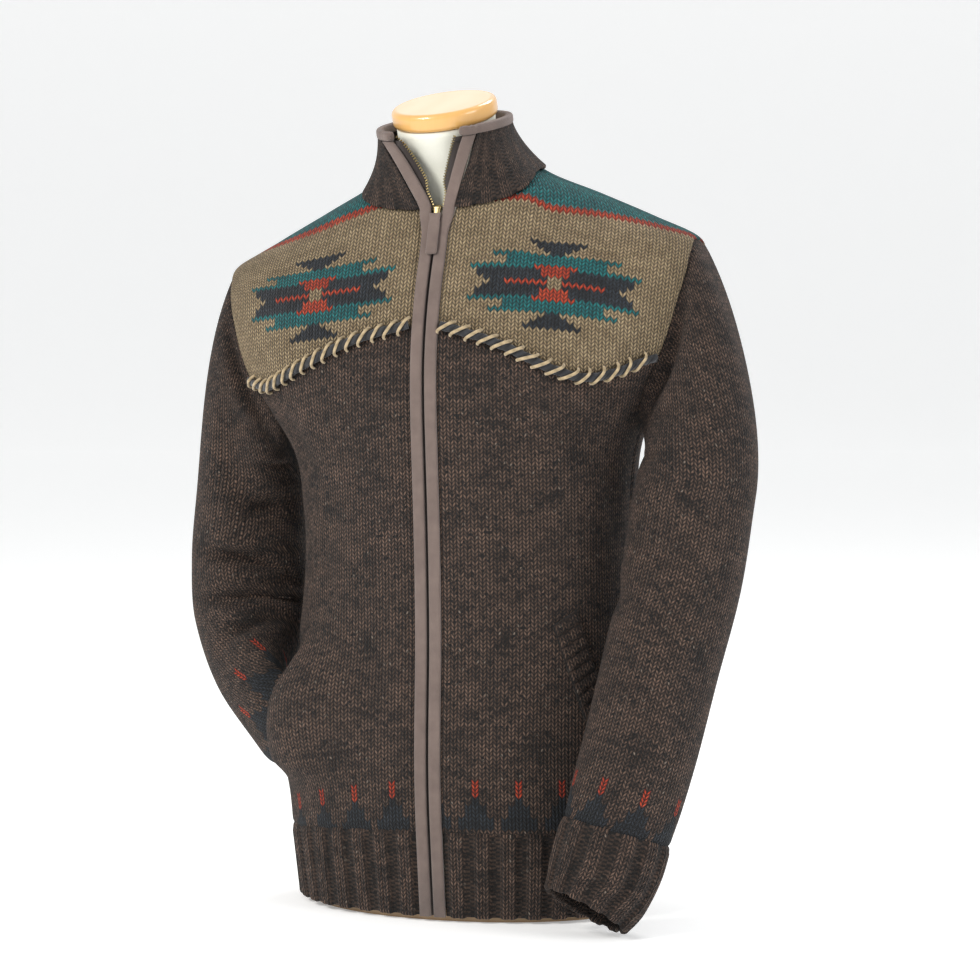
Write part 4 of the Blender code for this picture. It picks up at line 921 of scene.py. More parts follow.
def wool_yoke():
    """Tan stocking stitch with the diamond at the map's middle. `stripe` is 0 at the red stripe's foot,
    in metres."""
    made, tree, shader = finish("tan wool with diamond", 0.95, 0.05)
    u, v = cloth_place(tree)
    wales, rows = calc(tree, "DIVIDE", u, YOKE_WALE), calc(tree, "DIVIDE", v, YOKE_ROW)
    knit = place(tree, stitches, Wales=wales, Rows=rows, Lean=1.0)
    spun = place(tree, marl, Wales=wales, Rows=rows, Column=knit["Column"], Row=knit["Row"])
    tone = spun["Tone"]
    colour = two_tone(tree, tone, TAN_DARK, TAN_LIGHT)
    chart = place(tree, diamond, Column=knit["Column"], Row=knit["Row"])
    colour = mix(tree, chart["Teal"], colour, two_tone(tree, tone, TEAL_DARK, TEAL_LIGHT))
    colour = mix(tree, chart["Charcoal"], colour, two_tone(tree, tone, CHARCOAL_DARK, CHARCOAL_LIGHT))
    colour = mix(tree, chart["Red"], colour, two_tone(tree, tone, RED_DARK, RED_LIGHT))
    colour = mix(tree, chart["Tan"], colour, two_tone(tree, tone, TAN_DARK, TAN_LIGHT))
    above = calc(tree, "DIVIDE", value_of(tree, "stripe"), YOKE_ROW)
    toothed = calc(tree, "SUBTRACT", above, calc(tree, "MULTIPLY", knit["Across"], 1.0))
    colour = mix(tree, calc(tree, "GREATER_THAN", toothed, 0.0), colour,
                 two_tone(tree, tone, RED_DARK, RED_LIGHT))
    colour = mix(tree, calc(tree, "GREATER_THAN", toothed, 1.6), colour,
                 two_tone(tree, tone, TEAL_DARK, TEAL_LIGHT))
    feed(tree, shader.inputs["Base Color"], shade_gaps(tree, colour, knit["Height"], 0.14, 1.1))
    height = calc(tree, "MULTIPLY_ADD", fuzz(tree), 0.2, knit["Height"])
    bump(tree, shader, height, 2.6 * MM)
    return made


def wool_rib():
    """Brown ribbing. `rib` is 1 on the raised stitches and 0 in the sunk ones, whose bars run across."""
    made, tree, shader = finish("brown wool ribbing", 0.95, 0.03)
    u, v = cloth_place(tree)
    wales, rows = calc(tree, "DIVIDE", u, 6.0 * MM), calc(tree, "DIVIDE", v, ROW)
    knit = place(tree, stitches, Wales=wales, Rows=rows, Lean=1.0)
    spun = place(tree, marl, Wales=wales, Rows=rows, Column=knit["Column"], Row=knit["Row"])
    raised = value_of(tree, "rib")
    bars = calc(tree, "ABSOLUTE", calc(tree, "SINE", calc(tree, "MULTIPLY", calc(tree, "ADD", rows, calc(
        tree, "MULTIPLY", calc(tree, "FLOOR", wales), 0.5)), math.pi)))
    sunk = calc(tree, "MULTIPLY", bars, 0.6)
    height = calc(tree, "ADD", calc(tree, "MULTIPLY", raised, knit["Height"]),
                  calc(tree, "MULTIPLY", calc(tree, "SUBTRACT", 1.0, raised), sunk))
    colour = shade_gaps(tree, brown_yarn(tree, spun), height)
    # Painted shade: the sunk ribs are darkened to 55 percent of the yarn's colour, and the raised ones keep
    # it.
    depth = calc(tree, "MULTIPLY_ADD", raised, 0.45, 0.55)
    feed(tree, shader.inputs["Base Color"], mix(tree, depth, (0.0, 0.0, 0.0, 1), colour))
    bump(tree, shader, calc(tree, "MULTIPLY_ADD", fuzz(tree), 0.35, height), 2.2 * MM)
    return made


knit_body, knit_yoke, knit_rib = wool_body(), wool_yoke(), wool_rib()
print("wool finishes:", knit_body.name, "|", knit_yoke.name, "|", knit_rib.name)

# %% [markdown]
# ## Tapes, cord and metal
# The strips beside the zip are folded jersey tape, so they have fine lengthwise ribs. The zip's own tape
# is a dark twill. The yoke's edge is bound with a charcoal cord, and the zip's teeth and slider
# are brass, brighter where they rub.

# %% Finishes of the trimmings
def taped(name, dark, light, ribs_across, ribs_up, rough=0.85, sheen=0.2):
    """Fine ribs: a sine of the map's distance across, broken up by a finer sine along."""
    made, tree, shader = finish(name, rough, sheen)
    u, v = cloth_place(tree)
    wave = calc(tree, "MULTIPLY_ADD",
                calc(tree, "SINE", calc(tree, "MULTIPLY", u, 2 * math.pi / ribs_across)), 0.5, 0.5)
    weft = calc(tree, "MULTIPLY_ADD", calc(tree, "SINE", calc(tree, "MULTIPLY", v, 2 * math.pi / ribs_up)),
                0.5, 0.5)
    weave = calc(tree, "MULTIPLY", calc(tree, "POWER", wave, 0.7),
                 calc(tree, "MULTIPLY_ADD", weft, 0.4, 0.6))
    node = tree.nodes.new("ShaderNodeTexCoord")
    worn = noise(tree, node.outputs["Object"], 60.0, 3.0, 0.6)
    # Painted shade: the tone rises with the weave's height, so each fine rib is lighter and the grooves
    # between them darker, over a random noise.
    tone = calc(tree, "MULTIPLY_ADD", worn, 0.8, calc(tree, "MULTIPLY_ADD", weave, 0.45, -0.25), clamp=True)
    feed(tree, shader.inputs["Base Color"], two_tone(tree, tone, dark, light))
    bump(tree, shader, calc(tree, "MULTIPLY_ADD", fuzz(tree), 0.5, weave), 0.25 * MM)
    return made


def spun_cord(name, dark, light, pitch, lean, gap):
    """Two plies: a sine of the distance along plus a share of the distance round."""
    made, tree, shader = finish(name, 0.9, 0.25)
    u, v = cloth_place(tree)
    turn = calc(tree, "ADD", calc(tree, "DIVIDE", v, pitch), calc(tree, "MULTIPLY", u, lean))
    ply = calc(tree, "ABSOLUTE", calc(tree, "SINE", calc(tree, "MULTIPLY", turn, math.pi)))
    node = tree.nodes.new("ShaderNodeTexCoord")
    flecks = noise(tree, node.outputs["Object"], 420.0, 3.0, 0.7)
    # Painted shade: the tone rises on each ply, and shade_gaps darkens the colour between the plies, over
    # random flecks.
    tone = calc(tree, "MULTIPLY_ADD", flecks, 1.3, calc(tree, "MULTIPLY_ADD", ply, 0.3, -0.55), clamp=True)
    colour = shade_gaps(tree, two_tone(tree, tone, dark, light), ply, gap)
    feed(tree, shader.inputs["Base Color"], colour)
    bump(tree, shader, calc(tree, "MULTIPLY_ADD", flecks, 0.4, ply), 0.8 * MM * (1 - gap))
    return made


def brass_finish():
    """Old brass: noise mixes a dark and a light metal, and roughens the dark one."""
    made, tree, shader = finish("old brass", 0.38, 0.0, 1.0)
    node = tree.nodes.new("ShaderNodeTexCoord")
    worn = noise(tree, node.outputs["Object"], 260.0, 3.0, 0.6)
    feed(tree, shader.inputs["Base Color"], mix(tree, worn, (0.16, 0.12, 0.055, 1), (0.55, 0.44, 0.22, 1)))
    feed(tree, shader.inputs["Roughness"], calc(tree, "MULTIPLY_ADD", worn, 0.35, 0.2))
    bump(tree, shader, worn, 0.05 * MM)
    return made


tape_taupe = taped("taupe jersey tape", (0.120, 0.084, 0.070, 1), (0.262, 0.192, 0.164, 1), 1.1 * MM,
                   0.8 * MM)
tape_dark = taped("dark twill tape", (0.016, 0.009, 0.007, 1), (0.050, 0.032, 0.026, 1), 0.7 * MM, 0.7 * MM)
cord_charcoal = spun_cord("charcoal cord", (0.008, 0.009, 0.012, 1), (0.036, 0.038, 0.046, 1), 9.0 * MM,
                          90.0, 0.2)
whip_tan = spun_cord("tan whip yarn", (0.400, 0.295, 0.160, 1), (0.680, 0.530, 0.320, 1), 9.0 * MM, 60.0,
                     0.8)
brass = brass_finish()
print("trimmings:", tape_taupe.name, "|", tape_dark.name, "|", cord_charcoal.name, "|", whip_tan.name, "|",
      brass.name)

# %% [markdown]
# ## The form's cloth and wood
# The form is covered in cream jersey, and its cap and base are turned wood under varnish: the cap is pale
# on its flat top and amber round its rim. Rings of grain come from a wave
# that a noise bends.

# %% Finishes of the form
def form_cloth():
    """Cream jersey: fine noise over a slow one."""
    made, tree, shader = finish("cream jersey", 0.8, 0.15)
    node = tree.nodes.new("ShaderNodeTexCoord")
    soiled = noise(tree, node.outputs["Object"], 9.0, 4.0, 0.6)
    fine = noise(tree, node.outputs["Object"], 700.0, 2.0, 0.6)
    colour = mix(tree, soiled, (0.78, 0.80, 0.64, 1), (0.96, 0.94, 0.87, 1))
    feed(tree, shader.inputs["Base Color"],
         mix(tree, calc(tree, "MULTIPLY", fine, 0.25), colour, (0.62, 0.60, 0.50, 1)))
    bump(tree, shader, fine, 0.2 * MM)
    return made


def turned_wood(name, pale, amber, rough, scale):
    """Bands that bend: the sine of a coordinate plus a noise, twice, at two scales."""
    made, tree, shader = finish(name, rough)
    shader.inputs["Coat Weight"].default_value = 0.6
    shader.inputs["Coat Roughness"].default_value = 0.12
    node = tree.nodes.new("ShaderNodeTexCoord")
    split = tree.nodes.new("ShaderNodeSeparateXYZ")
    tree.links.new(node.outputs["Object"], split.inputs[0])
    bend = noise(tree, node.outputs["Object"], 14.0, 3.0)
    along = calc(tree, "ADD", calc(tree, "MULTIPLY", split.outputs[0], scale),
                 calc(tree, "MULTIPLY", bend, 9.0))
    grain = calc(tree, "MULTIPLY_ADD", calc(tree, "SINE", along), 0.5, 0.5)
    pores = noise(tree, pack(tree, calc(tree, "MULTIPLY", split.outputs[0], 30.0), split.outputs[1],
                             split.outputs[2]), 40.0, 2.0)
    rim = value_of(tree, "rim")
    colour = mix(tree, calc(tree, "MULTIPLY", grain, 0.12), pale, amber)
    colour = mix(tree, calc(tree, "MULTIPLY_ADD", rim, 0.85, calc(tree, "MULTIPLY", pores, 0.12),
                            clamp=True), colour, amber)
    feed(tree, shader.inputs["Base Color"], colour)
    bump(tree, shader, pores, 0.05 * MM)
    return made


form_jersey = form_cloth()
cap_wood = turned_wood("varnished cap wood", (0.92, 0.75, 0.48, 1), (0.82, 0.44, 0.12, 1), 0.30, 160.0)
base_wood = turned_wood("varnished base wood", (0.42, 0.26, 0.12, 1), (0.30, 0.17, 0.07, 1), 0.45, 120.0)
print("form finishes:", form_jersey.name, "|", cap_wood.name, "|", base_wood.name)

# %% [markdown]
# ## How a piece joins the part
# Each new piece rides on a body of the part, stands for the solid it replaces, and takes the finish given
# for it.


def add(name, shape, nodes, finish, body="sweater"):
    """Puts a shape in the scene as a piece that replaces the named solids."""
    points, faces, places, values, smooth = turned_out(shape)
    piece = new_mesh(name, points, faces, places, values, smooth)
    piece.data.materials.append(finish)
    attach(piece, body)
    if nodes:
        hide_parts(*nodes)
    print(f"{name}: {2 * len(faces)} triangles")
    return piece


GAP = 0.15 * MM             # each piece stops this far short of a seam


def trim(points, closed=False):
    """Moves a grid's edges toward its middle by the gap."""
    p = points.copy()
    for near, far in ((0, 1), (-1, -2)):
        p[near] += GAP * unit(points[far] - points[near])
        if not closed:
            p[:, near] += GAP * unit(points[:, far] - points[:, near])
    return p


# %% [markdown]
# ## Yokes
# The front yokes carry one diamond each, and the back yoke, which the photo hides, repeats both. Knitted
# rows droop toward the shoulder, because the yoke is pulled down by the sleeve's weight. The map gives
# each point its distance from the diamond's middle, across and up, with the droop added.

# %% The three yokes
DROOP = {
    # side: middle of the diamond across and up, height of the stripe's foot
    1: (0.1190, 0.593, 0.664),
    -1: (0.1163, 0.595, 0.668),
}


def droop(side, u, height):
    """How far the rows have sunk at a distance u from the zip, more so near the shoulder."""
    if side > 0:
        return (0.77 * np.maximum(u - 0.04, 0) ** 1.85
                + 0.009 * ease((u - 0.08) / 0.03) * ease((height - 0.59) / 0.06))
    return 0.075 * (u - 0.04) + 0.2 * np.maximum(u - 0.05, 0) * ease((height - 0.59) / 0.06)


def yoke_ways(side, grid, back):
    """Way out at each grid point: the body's, turned to the armhole's shared one over the last 12 mm."""
    normals = body_normal(side, grid[..., 0], grid[..., 1])
    points = body_point(side, grid[..., 0], grid[..., 1])
    psi = np.linspace(YOKE_PSI, 0, len(grid))
    seam = armhole_way(side, 360 - psi if back else psi)[:, None]
    near = 1 - ease(edge_distance(points, ("end",)) / 0.012)
    return points, unit(normals + near[..., None] * (seam - normals))


YOKE_SWELL = 1.2 * MM       # the yoke stands a little over the sleeve and the panel below


def front_yoke(side, name):
    """A front yoke: the body's face plus creases, and a swell at the armhole's edge."""
    grid = yoke_map(side, False, 60, 110)
    points, ways = yoke_ways(side, grid, False)
    u, height = girth(side, grid[..., 0], grid[..., 1]), grid[..., 1]
    soft = creases(u, height, [
        (0.060, 0.575, 60.0, 0.030, 0.010, 0.9 * MM, 0.5 * MM),
        (0.175, 0.560, 100.0, 0.040, 0.012, 1.1 * MM, 0.6 * MM),
        (0.110, 0.640, 20.0, 0.045, 0.011, 0.8 * MM, 0.4 * MM),
    ])
    edge = ease(edge_distance(points, ("end",)) / 0.004)
    points = sink_seams(trim(points), ways, ("top", "bottom"), 0.8 * MM, 4 * MM)
    swell = YOKE_SWELL * edge * (1 - ease(edge_distance(points, ("end",)) / 0.03))
    points = points + (soft + swell)[..., None] * ways
    across, up, stripe = DROOP[side]
    v = height + droop(side, u, height)
    uv = np.stack([u - across, v - up + YOKE_ROW], axis=-1)
    piece = add(name, wall(points, ways, uv, values={"stripe": v - stripe}), [name.replace("knit_", "")],
                knit_yoke)


def back_yoke():
    """Both halves of the back yoke side by side, mapped from the middle outward."""
    halves = {}
    for side in (-1, 1):
        grid = yoke_map(side, True, 60, 110)
        points, ways = yoke_ways(side, grid, True)
        turn, height = grid[..., 0], grid[..., 1]
        u = girth(side, np.full_like(turn, 180.0), height) - girth(side, turn, height)
        points = sink_seams(points, ways, ("top", "bottom"), 0.8 * MM, 4 * MM)
        v = height + 0.06 * u
        stripe = height + droop(1, u, height) - 0.659
        uv = np.stack([u - 0.104, v - 0.600], axis=-1)
        halves[side] = (points, ways, uv, stripe[..., None])
    whole = [np.concatenate([halves[-1][k][:, :0:-1], halves[1][k]], axis=1) for k in range(4)]
    points = trim(whole[0])
    piece = add("knit_yoke_back", wall(points, whole[1], whole[2], values={"stripe": whole[3][..., 0]}),
                ["yoke_back"], knit_yoke)


front_yoke(1, "knit_yoke_front_left")
front_yoke(-1, "knit_yoke_front_right")
back_yoke()

# %% [markdown]
# ## Fronts and back
# Below the yoke the sweater is brown, with the row of peaks above the hem. The rows are counted up from
# the seam, so the peaks follow it. The wearer's right pocket holds the cuff, so that front is slit. Its
# cloth swells over the hidden hand space, the front lip lifts, and the rear lip sinks.

# %% Panels below the yoke
PANEL_CREASES = {
    # side: rows of place across and up, lean in degrees, half length, half width, depth, ridge
    1: [
        (0.150, 0.440, 118.0, 0.060, 0.014, 2.4 * MM, 1.4 * MM),
        (0.185, 0.400, 100.0, 0.080, 0.013, 2.2 * MM, 1.2 * MM),
        (0.090, 0.330, 82.0, 0.090, 0.020, 1.3 * MM, 0.8 * MM),
        (0.120, 0.200, 96.0, 0.070, 0.018, 1.2 * MM, 0.8 * MM),
        (0.045, 0.450, 70.0, 0.050, 0.013, 1.0 * MM, 0.6 * MM),
        (0.060, 0.120, 88.0, 0.040, 0.016, 0.9 * MM, 0.6 * MM),
    ],
    -1: [
        (0.150, 0.450, 60.0, 0.055, 0.013, 2.2 * MM, 1.4 * MM),
        (0.110, 0.350, 100.0, 0.080, 0.016, 1.5 * MM, 0.9 * MM),
        (0.060, 0.250, 86.0, 0.080, 0.018, 1.1 * MM, 0.7 * MM),
        (0.120, 0.290, 140.0, 0.045, 0.011, 1.4 * MM, 0.9 * MM),
    ],
    0: [
        (0.100, 0.420, 66.0, 0.080, 0.017, 2.2 * MM, 1.2 * MM),
        (-0.110, 0.400, 112.0, 0.085, 0.016, 2.4 * MM, 1.3 * MM),
        (0.050, 0.250, 92.0, 0.110, 0.020, 1.6 * MM, 1.0 * MM),
        (-0.040, 0.200, 86.0, 0.090, 0.018, 1.3 * MM, 0.8 * MM),
        (0.150, 0.160, 84.0, 0.070, 0.015, 1.5 * MM, 0.9 * MM),
        (-0.150, 0.210, 96.0, 0.080, 0.016, 1.4 * MM, 0.9 * MM),
    ],
}
PEAK_SHIFT = {
    # side: stitches that the peaks stand off, share by which the rows sink away from the zip
    1: (-0.25, 0.0),
    -1: (1.20, 0.12),
    0: (0.50, 0.0),
}


def panel_ways(side, grid, back, push=0.0):
    """Way out: the body's, and near the part of the edge that lies under the arm the armhole's shared
    one."""
    turn, height = grid[..., 0], grid[..., 1]
    points, normals = body_point(side, turn, height, push), body_normal(side, turn, height)
    columns = grid.shape[1]
    psi = np.interp(np.arange(columns), [70, columns - 1], [YOKE_PSI, 180.0])
    seam = armhole_way(side, 360 - psi if back else psi)[None]
    under = ease((np.arange(columns) - 68.0) / 3.0)[None]
    near = under * (1 - ease(edge_distance(points, ("top",)) / 0.012))
    return points, unit(normals + near[..., None] * (seam - normals))


def panel_uv(u, points, key):
    """Metres across from the front edge or the back's middle, and metres up from the hem's seam."""
    shift, sunk = PEAK_SHIFT[key]
    return np.stack([u + shift * WALE, run_along(points, 0) + sunk * np.abs(u)], axis=-1)


def front_left():
    """The left front: the body's face plus creases that fade out at its seams."""
    grid = panel_map(1, False, 150)
    points, ways = panel_ways(1, grid, False)
    u = girth(1, grid[..., 0], grid[..., 1])
    uv = panel_uv(u, points, 1)
    points = points + creases(u, grid[..., 1], PANEL_CREASES[1])[..., None] * ways * ease(
        edge_distance(points, ("top", "bottom", "start", "end")) / 0.03)[..., None]
    points = sink_seams(trim(points), ways, ("bottom", "top", "end"))
    piece = add("knit_front_left", wall(points, ways, uv), ["front_left"], knit_body)


SLIT_BOTTOM, SLIT_TOP, SLIT_LOW_TURN, SLIT_HIGH_TURN = 0.114, 0.270, 66.0, 54.0
LIP_LIFT, LIP_SINK, LIP_SPREAD, SLIT_PARTED = 0.032, -0.008, 26.0, 0.8
BULGE_DEEP, BULGE_HEIGHT, BULGE_TALL, BULGE_TURN, BULGE_WIDE = 0.012, 0.180, 0.075, 60.0, 30.0
SLIT_COLUMN = 60


def slit_along(height):
    """Share of the pocket slit's length at a height, from 0 to 1."""
    return np.clip((height - SLIT_BOTTOM) / (SLIT_TOP - SLIT_BOTTOM), 0, 1)


def pocket_lift(turn, height, ahead):
    """A Gaussian swell over the pocket, plus each lip's lift times sqrt(sin) along the slit and a
    Gaussian across."""
    slit = SLIT_LOW_TURN + (SLIT_HIGH_TURN - SLIT_LOW_TURN) * slit_along(height)
    away = ((height - BULGE_HEIGHT) / BULGE_TALL) ** 2 + ((turn - BULGE_TURN) / BULGE_WIDE) ** 2
    swell = BULGE_DEEP * np.exp(-away) * ease((height - HEM_TOP) / 0.05)
    along = slit_along(height)
    ends = ease(along / 0.16) * ease((1 - along) / 0.45)
    gape = ends * np.sin(math.pi * along) ** 0.5 * np.exp(-((turn - slit) / LIP_SPREAD) ** 2)
    return swell + ((LIP_LIFT if ahead else LIP_SINK) - BULGE_DEEP) * gape


def front_right():
    """Two walls that meet along the slit's line, from the zip to the slit and from there to the side
    seam."""
    grid = panel_map(-1, False, 150)
    height = grid[..., 1]
    near = np.clip(1 - np.abs(np.arange(grid.shape[1]) - SLIT_COLUMN) / 30.0, 0, 1)[None]
    level = ease((height - HEM_TOP) / 0.04) * (1 - ease((height - 0.30) / 0.12))
    slit = SLIT_LOW_TURN + (SLIT_HIGH_TURN - SLIT_LOW_TURN) * slit_along(height[:, SLIT_COLUMN])
    grid[..., 0] += (slit - grid[:, SLIT_COLUMN, 0])[:, None] * near * level
    walls, shown = [], []
    for ahead, part in ((True, slice(0, SLIT_COLUMN + 1)), (False, slice(SLIT_COLUMN, None))):
        push = pocket_lift(grid[..., 0], height, ahead)
        place = grid.copy()
        if not ahead:
            place[:, SLIT_COLUMN,
                  0] += SLIT_PARTED * np.sin(math.pi * slit_along(height[:, SLIT_COLUMN])) ** 0.5
        points, ways = panel_ways(-1, place, False, push)
        u = girth(-1, grid[..., 0], height)
        uv = panel_uv(u, body_point(-1, grid[..., 0], height), -1)
        fade = ease(edge_distance(points, ("top", "bottom", "start", "end")) / 0.03)
        points = points + (creases(u, height, PANEL_CREASES[-1]) * fade)[..., None] * ways
        points = sink_seams(trim(points), ways, ("bottom", "top", "end"))
        walls.append(wall(points[:, part], ways[:, part], uv[:, part]))
        shown.append(points)
    piece = add("knit_front_right", merge([turned_out(w) for w in walls]), ["front_right"], knit_body)


def back():
    """Both halves of the back side by side, plus creases that fade out at its seams."""
    halves = {}
    for side in (-1, 1):
        grid = panel_map(side, True, 150)
        points, ways = panel_ways(side, grid, True)
        turn, height = grid[..., 0], grid[..., 1]
        u = side * (girth(side, np.full_like(turn, 180.0), height) - girth(side, turn, height))
        uv = panel_uv(u, points, 0)
        halves[side] = (points, ways, uv, height[..., None])
    points, ways, uv, height = [np.concatenate([halves[-1][k][:, :0:-1], halves[1][k]], axis=1)
                                for k in range(4)]
    soft = creases(uv[..., 0], height[..., 0], PANEL_CREASES[0])
    fade = ease(edge_distance(points, ("top", "bottom", "start", "end")) / 0.03)
    points = sink_seams(trim(points + (soft * fade)[..., None] * ways), ways,
                        ("bottom", "top", "start", "end"))
    piece = add("knit_back", wall(points, ways, uv), ["back"], knit_body)


front_left()
front_right()
back()

# %% [markdown]
# ## Sleeves
# Each sleeve is knitted flat and sewn under the arm, so the map's join lies there and the stitches run
# parallel to the sleeve's outer line. The bent sleeve gathers into uneven folds inside the elbow. Each is
# a short trough with a ridge below it, placed by share of the sleeve and by angle.

# %% The two sleeves
SLEEVE_CREASES = {
    # side: rows of distance from the armhole, angle, lean, half length, half width, depth, ridge
    1: [
        (0.060, 118.0, 40.0, 0.040, 0.008, 2.6 * MM, 1.5 * MM),
        (0.110, 150.0, 20.0, 0.045, 0.009, 2.4 * MM, 1.4 * MM),
        (0.170, 60.0, -24.0, 0.040, 0.010, 1.5 * MM, 1.0 * MM),
        (0.225, 120.0, 18.0, 0.045, 0.009, 2.2 * MM, 1.3 * MM),
        (0.285, 80.0, -15.0, 0.040, 0.010, 1.6 * MM, 1.0 * MM),
        (0.345, 110.0, 12.0, 0.035, 0.010, 1.4 * MM, 0.9 * MM),
        (0.150, -60.0, 24.0, 0.050, 0.010, 2.0 * MM, 1.2 * MM),
        (0.250, -80.0, -16.0, 0.050, 0.010, 1.9 * MM, 1.1 * MM),
    ],
    -1: [
        (0.045, 120.0, 34.0, 0.045, 0.008, 3.0 * MM, 1.8 * MM),
        (0.085, 150.0, 28.0, 0.040, 0.008, 2.8 * MM, 1.6 * MM),
        (0.150, 140.0, 14.0, 0.050, 0.008, 4.6 * MM, 2.8 * MM),
        (0.205, 110.0, 6.0, 0.060, 0.009, 4.0 * MM, 2.4 * MM),
        (0.240, 150.0, 4.0, 0.050, 0.007, 4.6 * MM, 3.0 * MM),
        (0.275, 105.0, -10.0, 0.055, 0.009, 4.2 * MM, 2.6 * MM),
        (0.305, 90.0, -24.0, 0.050, 0.008, 2.6 * MM, 1.5 * MM),
        (0.190, 186.0, 90.0, 0.130, 0.034, -4.5 * MM, 0.0),
        (0.275, 186.0, 90.0, 0.110, 0.036, -9.0 * MM, 0.0),
        (0.120, -70.0, -14.0, 0.050, 0.010, 2.2 * MM, 1.2 * MM),
        (0.220, -60.0, 12.0, 0.050, 0.010, 2.4 * MM, 1.3 * MM),
    ],
}
SLEEVE_MAP = {
    # side: stitches that the peaks stand off, distance that the rows are shifted up
    1: (3.6, 0.006),
    -1: (1.2, -0.006),
}
ARMHOLE_GROOVE = 11.0 * MM   # the sleeve sinks under the yoke at the front of the armhole
ARM = 0.055                 # mean half size of a sleeve, which turns angles into distances


def sleeve(side, name):
    """A tube of rings plus creases, less a Gaussian groove under the front of the armhole."""
    psi = 180.0 + np.arange(144) * 2.5
    points = sleeve_points(side, psi, 46, 130)
    ways = outward(points, grid_normals(points, True))
    down = run_along(points, 0)
    near = 1 - ease(down / 0.012)
    ways = unit(ways + near[..., None] * (armhole_way(side, psi)[None] - ways))
    level = down.mean(axis=1, keepdims=True)
    turned = (psi[None] + 90.0) % 360.0 - 90.0
    soft = np.zeros_like(down)
    for shift in (-360.0, 0.0, 360.0):
        soft += creases(np.radians(turned + shift) * ARM + 0 * down, -level + 0 * down,
                        [(math.radians(a) * ARM, -d, lean, l, w, deep, ridge)
                         for d, a, lean, l, w, deep, ridge in SLEEVE_CREASES[side]])
    fade = ease(down / 0.02) * ease((down[-1:] - down) / 0.03)
    points = points + (soft * fade)[..., None] * ways
    window = np.cos(np.clip(((psi - 180.0) % 360.0 - 280.0) / 60.0, -1, 1) * math.pi / 2) ** 2
    groove = ARMHOLE_GROOVE * np.exp(-((down - 0.014) / 0.010) ** 2) * window[None]
    dip = groove + SEAM_DEPTH * ((1 - ease(down / SEAM_REACH))
                                 + (1 - ease((down[-1:] - down) / SEAM_REACH)))
    points = trim(points - dip[..., None] * ways, True)
    ways = unit(outward(points, grid_normals(points, True))
                + near[..., None] * 2 * armhole_way(side, psi)[None])
    around = np.concatenate([points, points[:, :1]], axis=1)
    round_run = run_along(around, 1)
    shift, rise = SLEEVE_MAP[side]
    u = round_run - round_run[:, 72:73] + shift * WALE
    v = run_along(around, 0)
    uv = np.stack([u, v[-1:] - v + rise], axis=-1)
    piece = add(name, wall(points, ways, uv, closed=True), [name.replace("knit_", "")], knit_body)


sleeve(1, "knit_sleeve_left")
sleeve(-1, "knit_sleeve_right")

# %% [markdown]
# ## Ribbing
# Hem, cuffs and collar are knitted two stitches up and two down, so a pitch is four stitches. Across it,
# the height rises and falls with an S curve, with a shallow groove between the two raised stitches. The
# map is counted in pitches, so the drawn stitches stay on their ribs.

# %% The rib's profile
RIB_WALL, RIB_HEIGHT, RIB_PITCH, COLLAR_PITCH = 3.0 * MM, 2.8 * MM, 24.0 * MM, 20.0 * MM
RIB_STITCH = 6.0 * MM       # width of a stitch on the ribbing's own map
FINE = 14                   # points in a pitch


def rib(place):
    """Share of the rib's height at a place in the pitch."""
    t = place % 1.0
    raised = ease((t - 0.13) / 0.16) * ease((0.87 - t) / 0.16)
    return raised, raised - 0.20 * np.exp(-((t - 0.5) / 0.045) ** 2)


def even_shares(curve, pitch):
    """Shares along an edge that are evenly spaced on it, and each one's place counted in pitches."""
    fine = np.linspace(0, 1, 900)
    run = run_along(curve(fine), 0)
    count = round(run[-1] / pitch)
    place = np.linspace(0, count, count * FINE + 1)
    return np.interp(place / count * run[-1], run, fine), place


def ribbing(name, base, ways, place, rise, nodes, wall_thick=RIB_WALL, height=RIB_HEIGHT, fade=None,
            closed=False):
    """Raises the ribs on a base grid and gives it a plain inside."""
    raised, profile = rib(place)
    tall = height * np.broadcast_to(profile, base.shape[:2]) * (1.0 if fade is None else fade)
    outer = base + tall[..., None] * ways
    across = np.append(place, place[-1] + 1 / FINE) if closed else place
    run = run_along(base, 0)
    run = np.concatenate([run, run[:, :1]], axis=1) if closed else run
    uv = np.stack([np.broadcast_to(across * 4 * RIB_STITCH, run.shape), run + rise], axis=-1)
    piece = add(name, wall(outer, ways, uv, thick=wall_thick + tall, closed=closed,
                           values={"rib": np.broadcast_to(raised, base.shape[:2])}), nodes, knit_rib)


def hem(name, side, start, end, node):
    """A ribbed band: the body's face sunk a little, with a small sine wave that fades upward."""
    whole = end > 180

    def at(share, up):
        turn = start + (end - start) * share
        where = np.where(turn > 180, -1, 1) if whole else side
        turn = np.where(turn > 180, 360 - turn, turn)
        top = hem_seam(where, turn) - 0.3 * MM
        return body_point(where, turn, HEM_BOTTOM + 0.0018 + (top - HEM_BOTTOM - 0.0018) * up, -HEM_SINK)

    share, place = even_shares(lambda s: at(s, 0.0), RIB_PITCH)
    up = np.linspace(0, 1, 26)
    base = np.stack([at(share, level) for level in up])
    ahead = np.stack([at(share + 0.004, level) - at(share - 0.004, level) for level in up])
    ways = unit(np.stack([ahead[..., 1], -ahead[..., 0], 0 * ahead[..., 0]], axis=-1))
    ways *= np.sign((base * ways).sum(-1, keepdims=True))
    wave = 0.8 * MM * np.sin(place * 1.7 + 0.6) * (1 - up[:, None]) ** 1.5
    fade = 1 - 0.45 * ease((up[:, None] - 0.9) / 0.1)
    base = trim(base + wave[..., None] * ways)
    ribbing(name, base, ways, place, 0.0, [node], fade=fade)


hem("rib_hem_left", 1, float(zip_turn(HEM_BOTTOM, STRIP_EDGE)), 90.0, "hem_left")
hem("rib_hem_right", -1, float(zip_turn(HEM_BOTTOM, STRIP_EDGE)), 90.0, "hem_right")
hem("rib_hem_back", 1, 90.0, 270.0, "hem_back")

CUFF_RIBS, CUFF_START = 12, 1.0004
CUFF_SCALE = {1: 1.0, -1: 0.5}


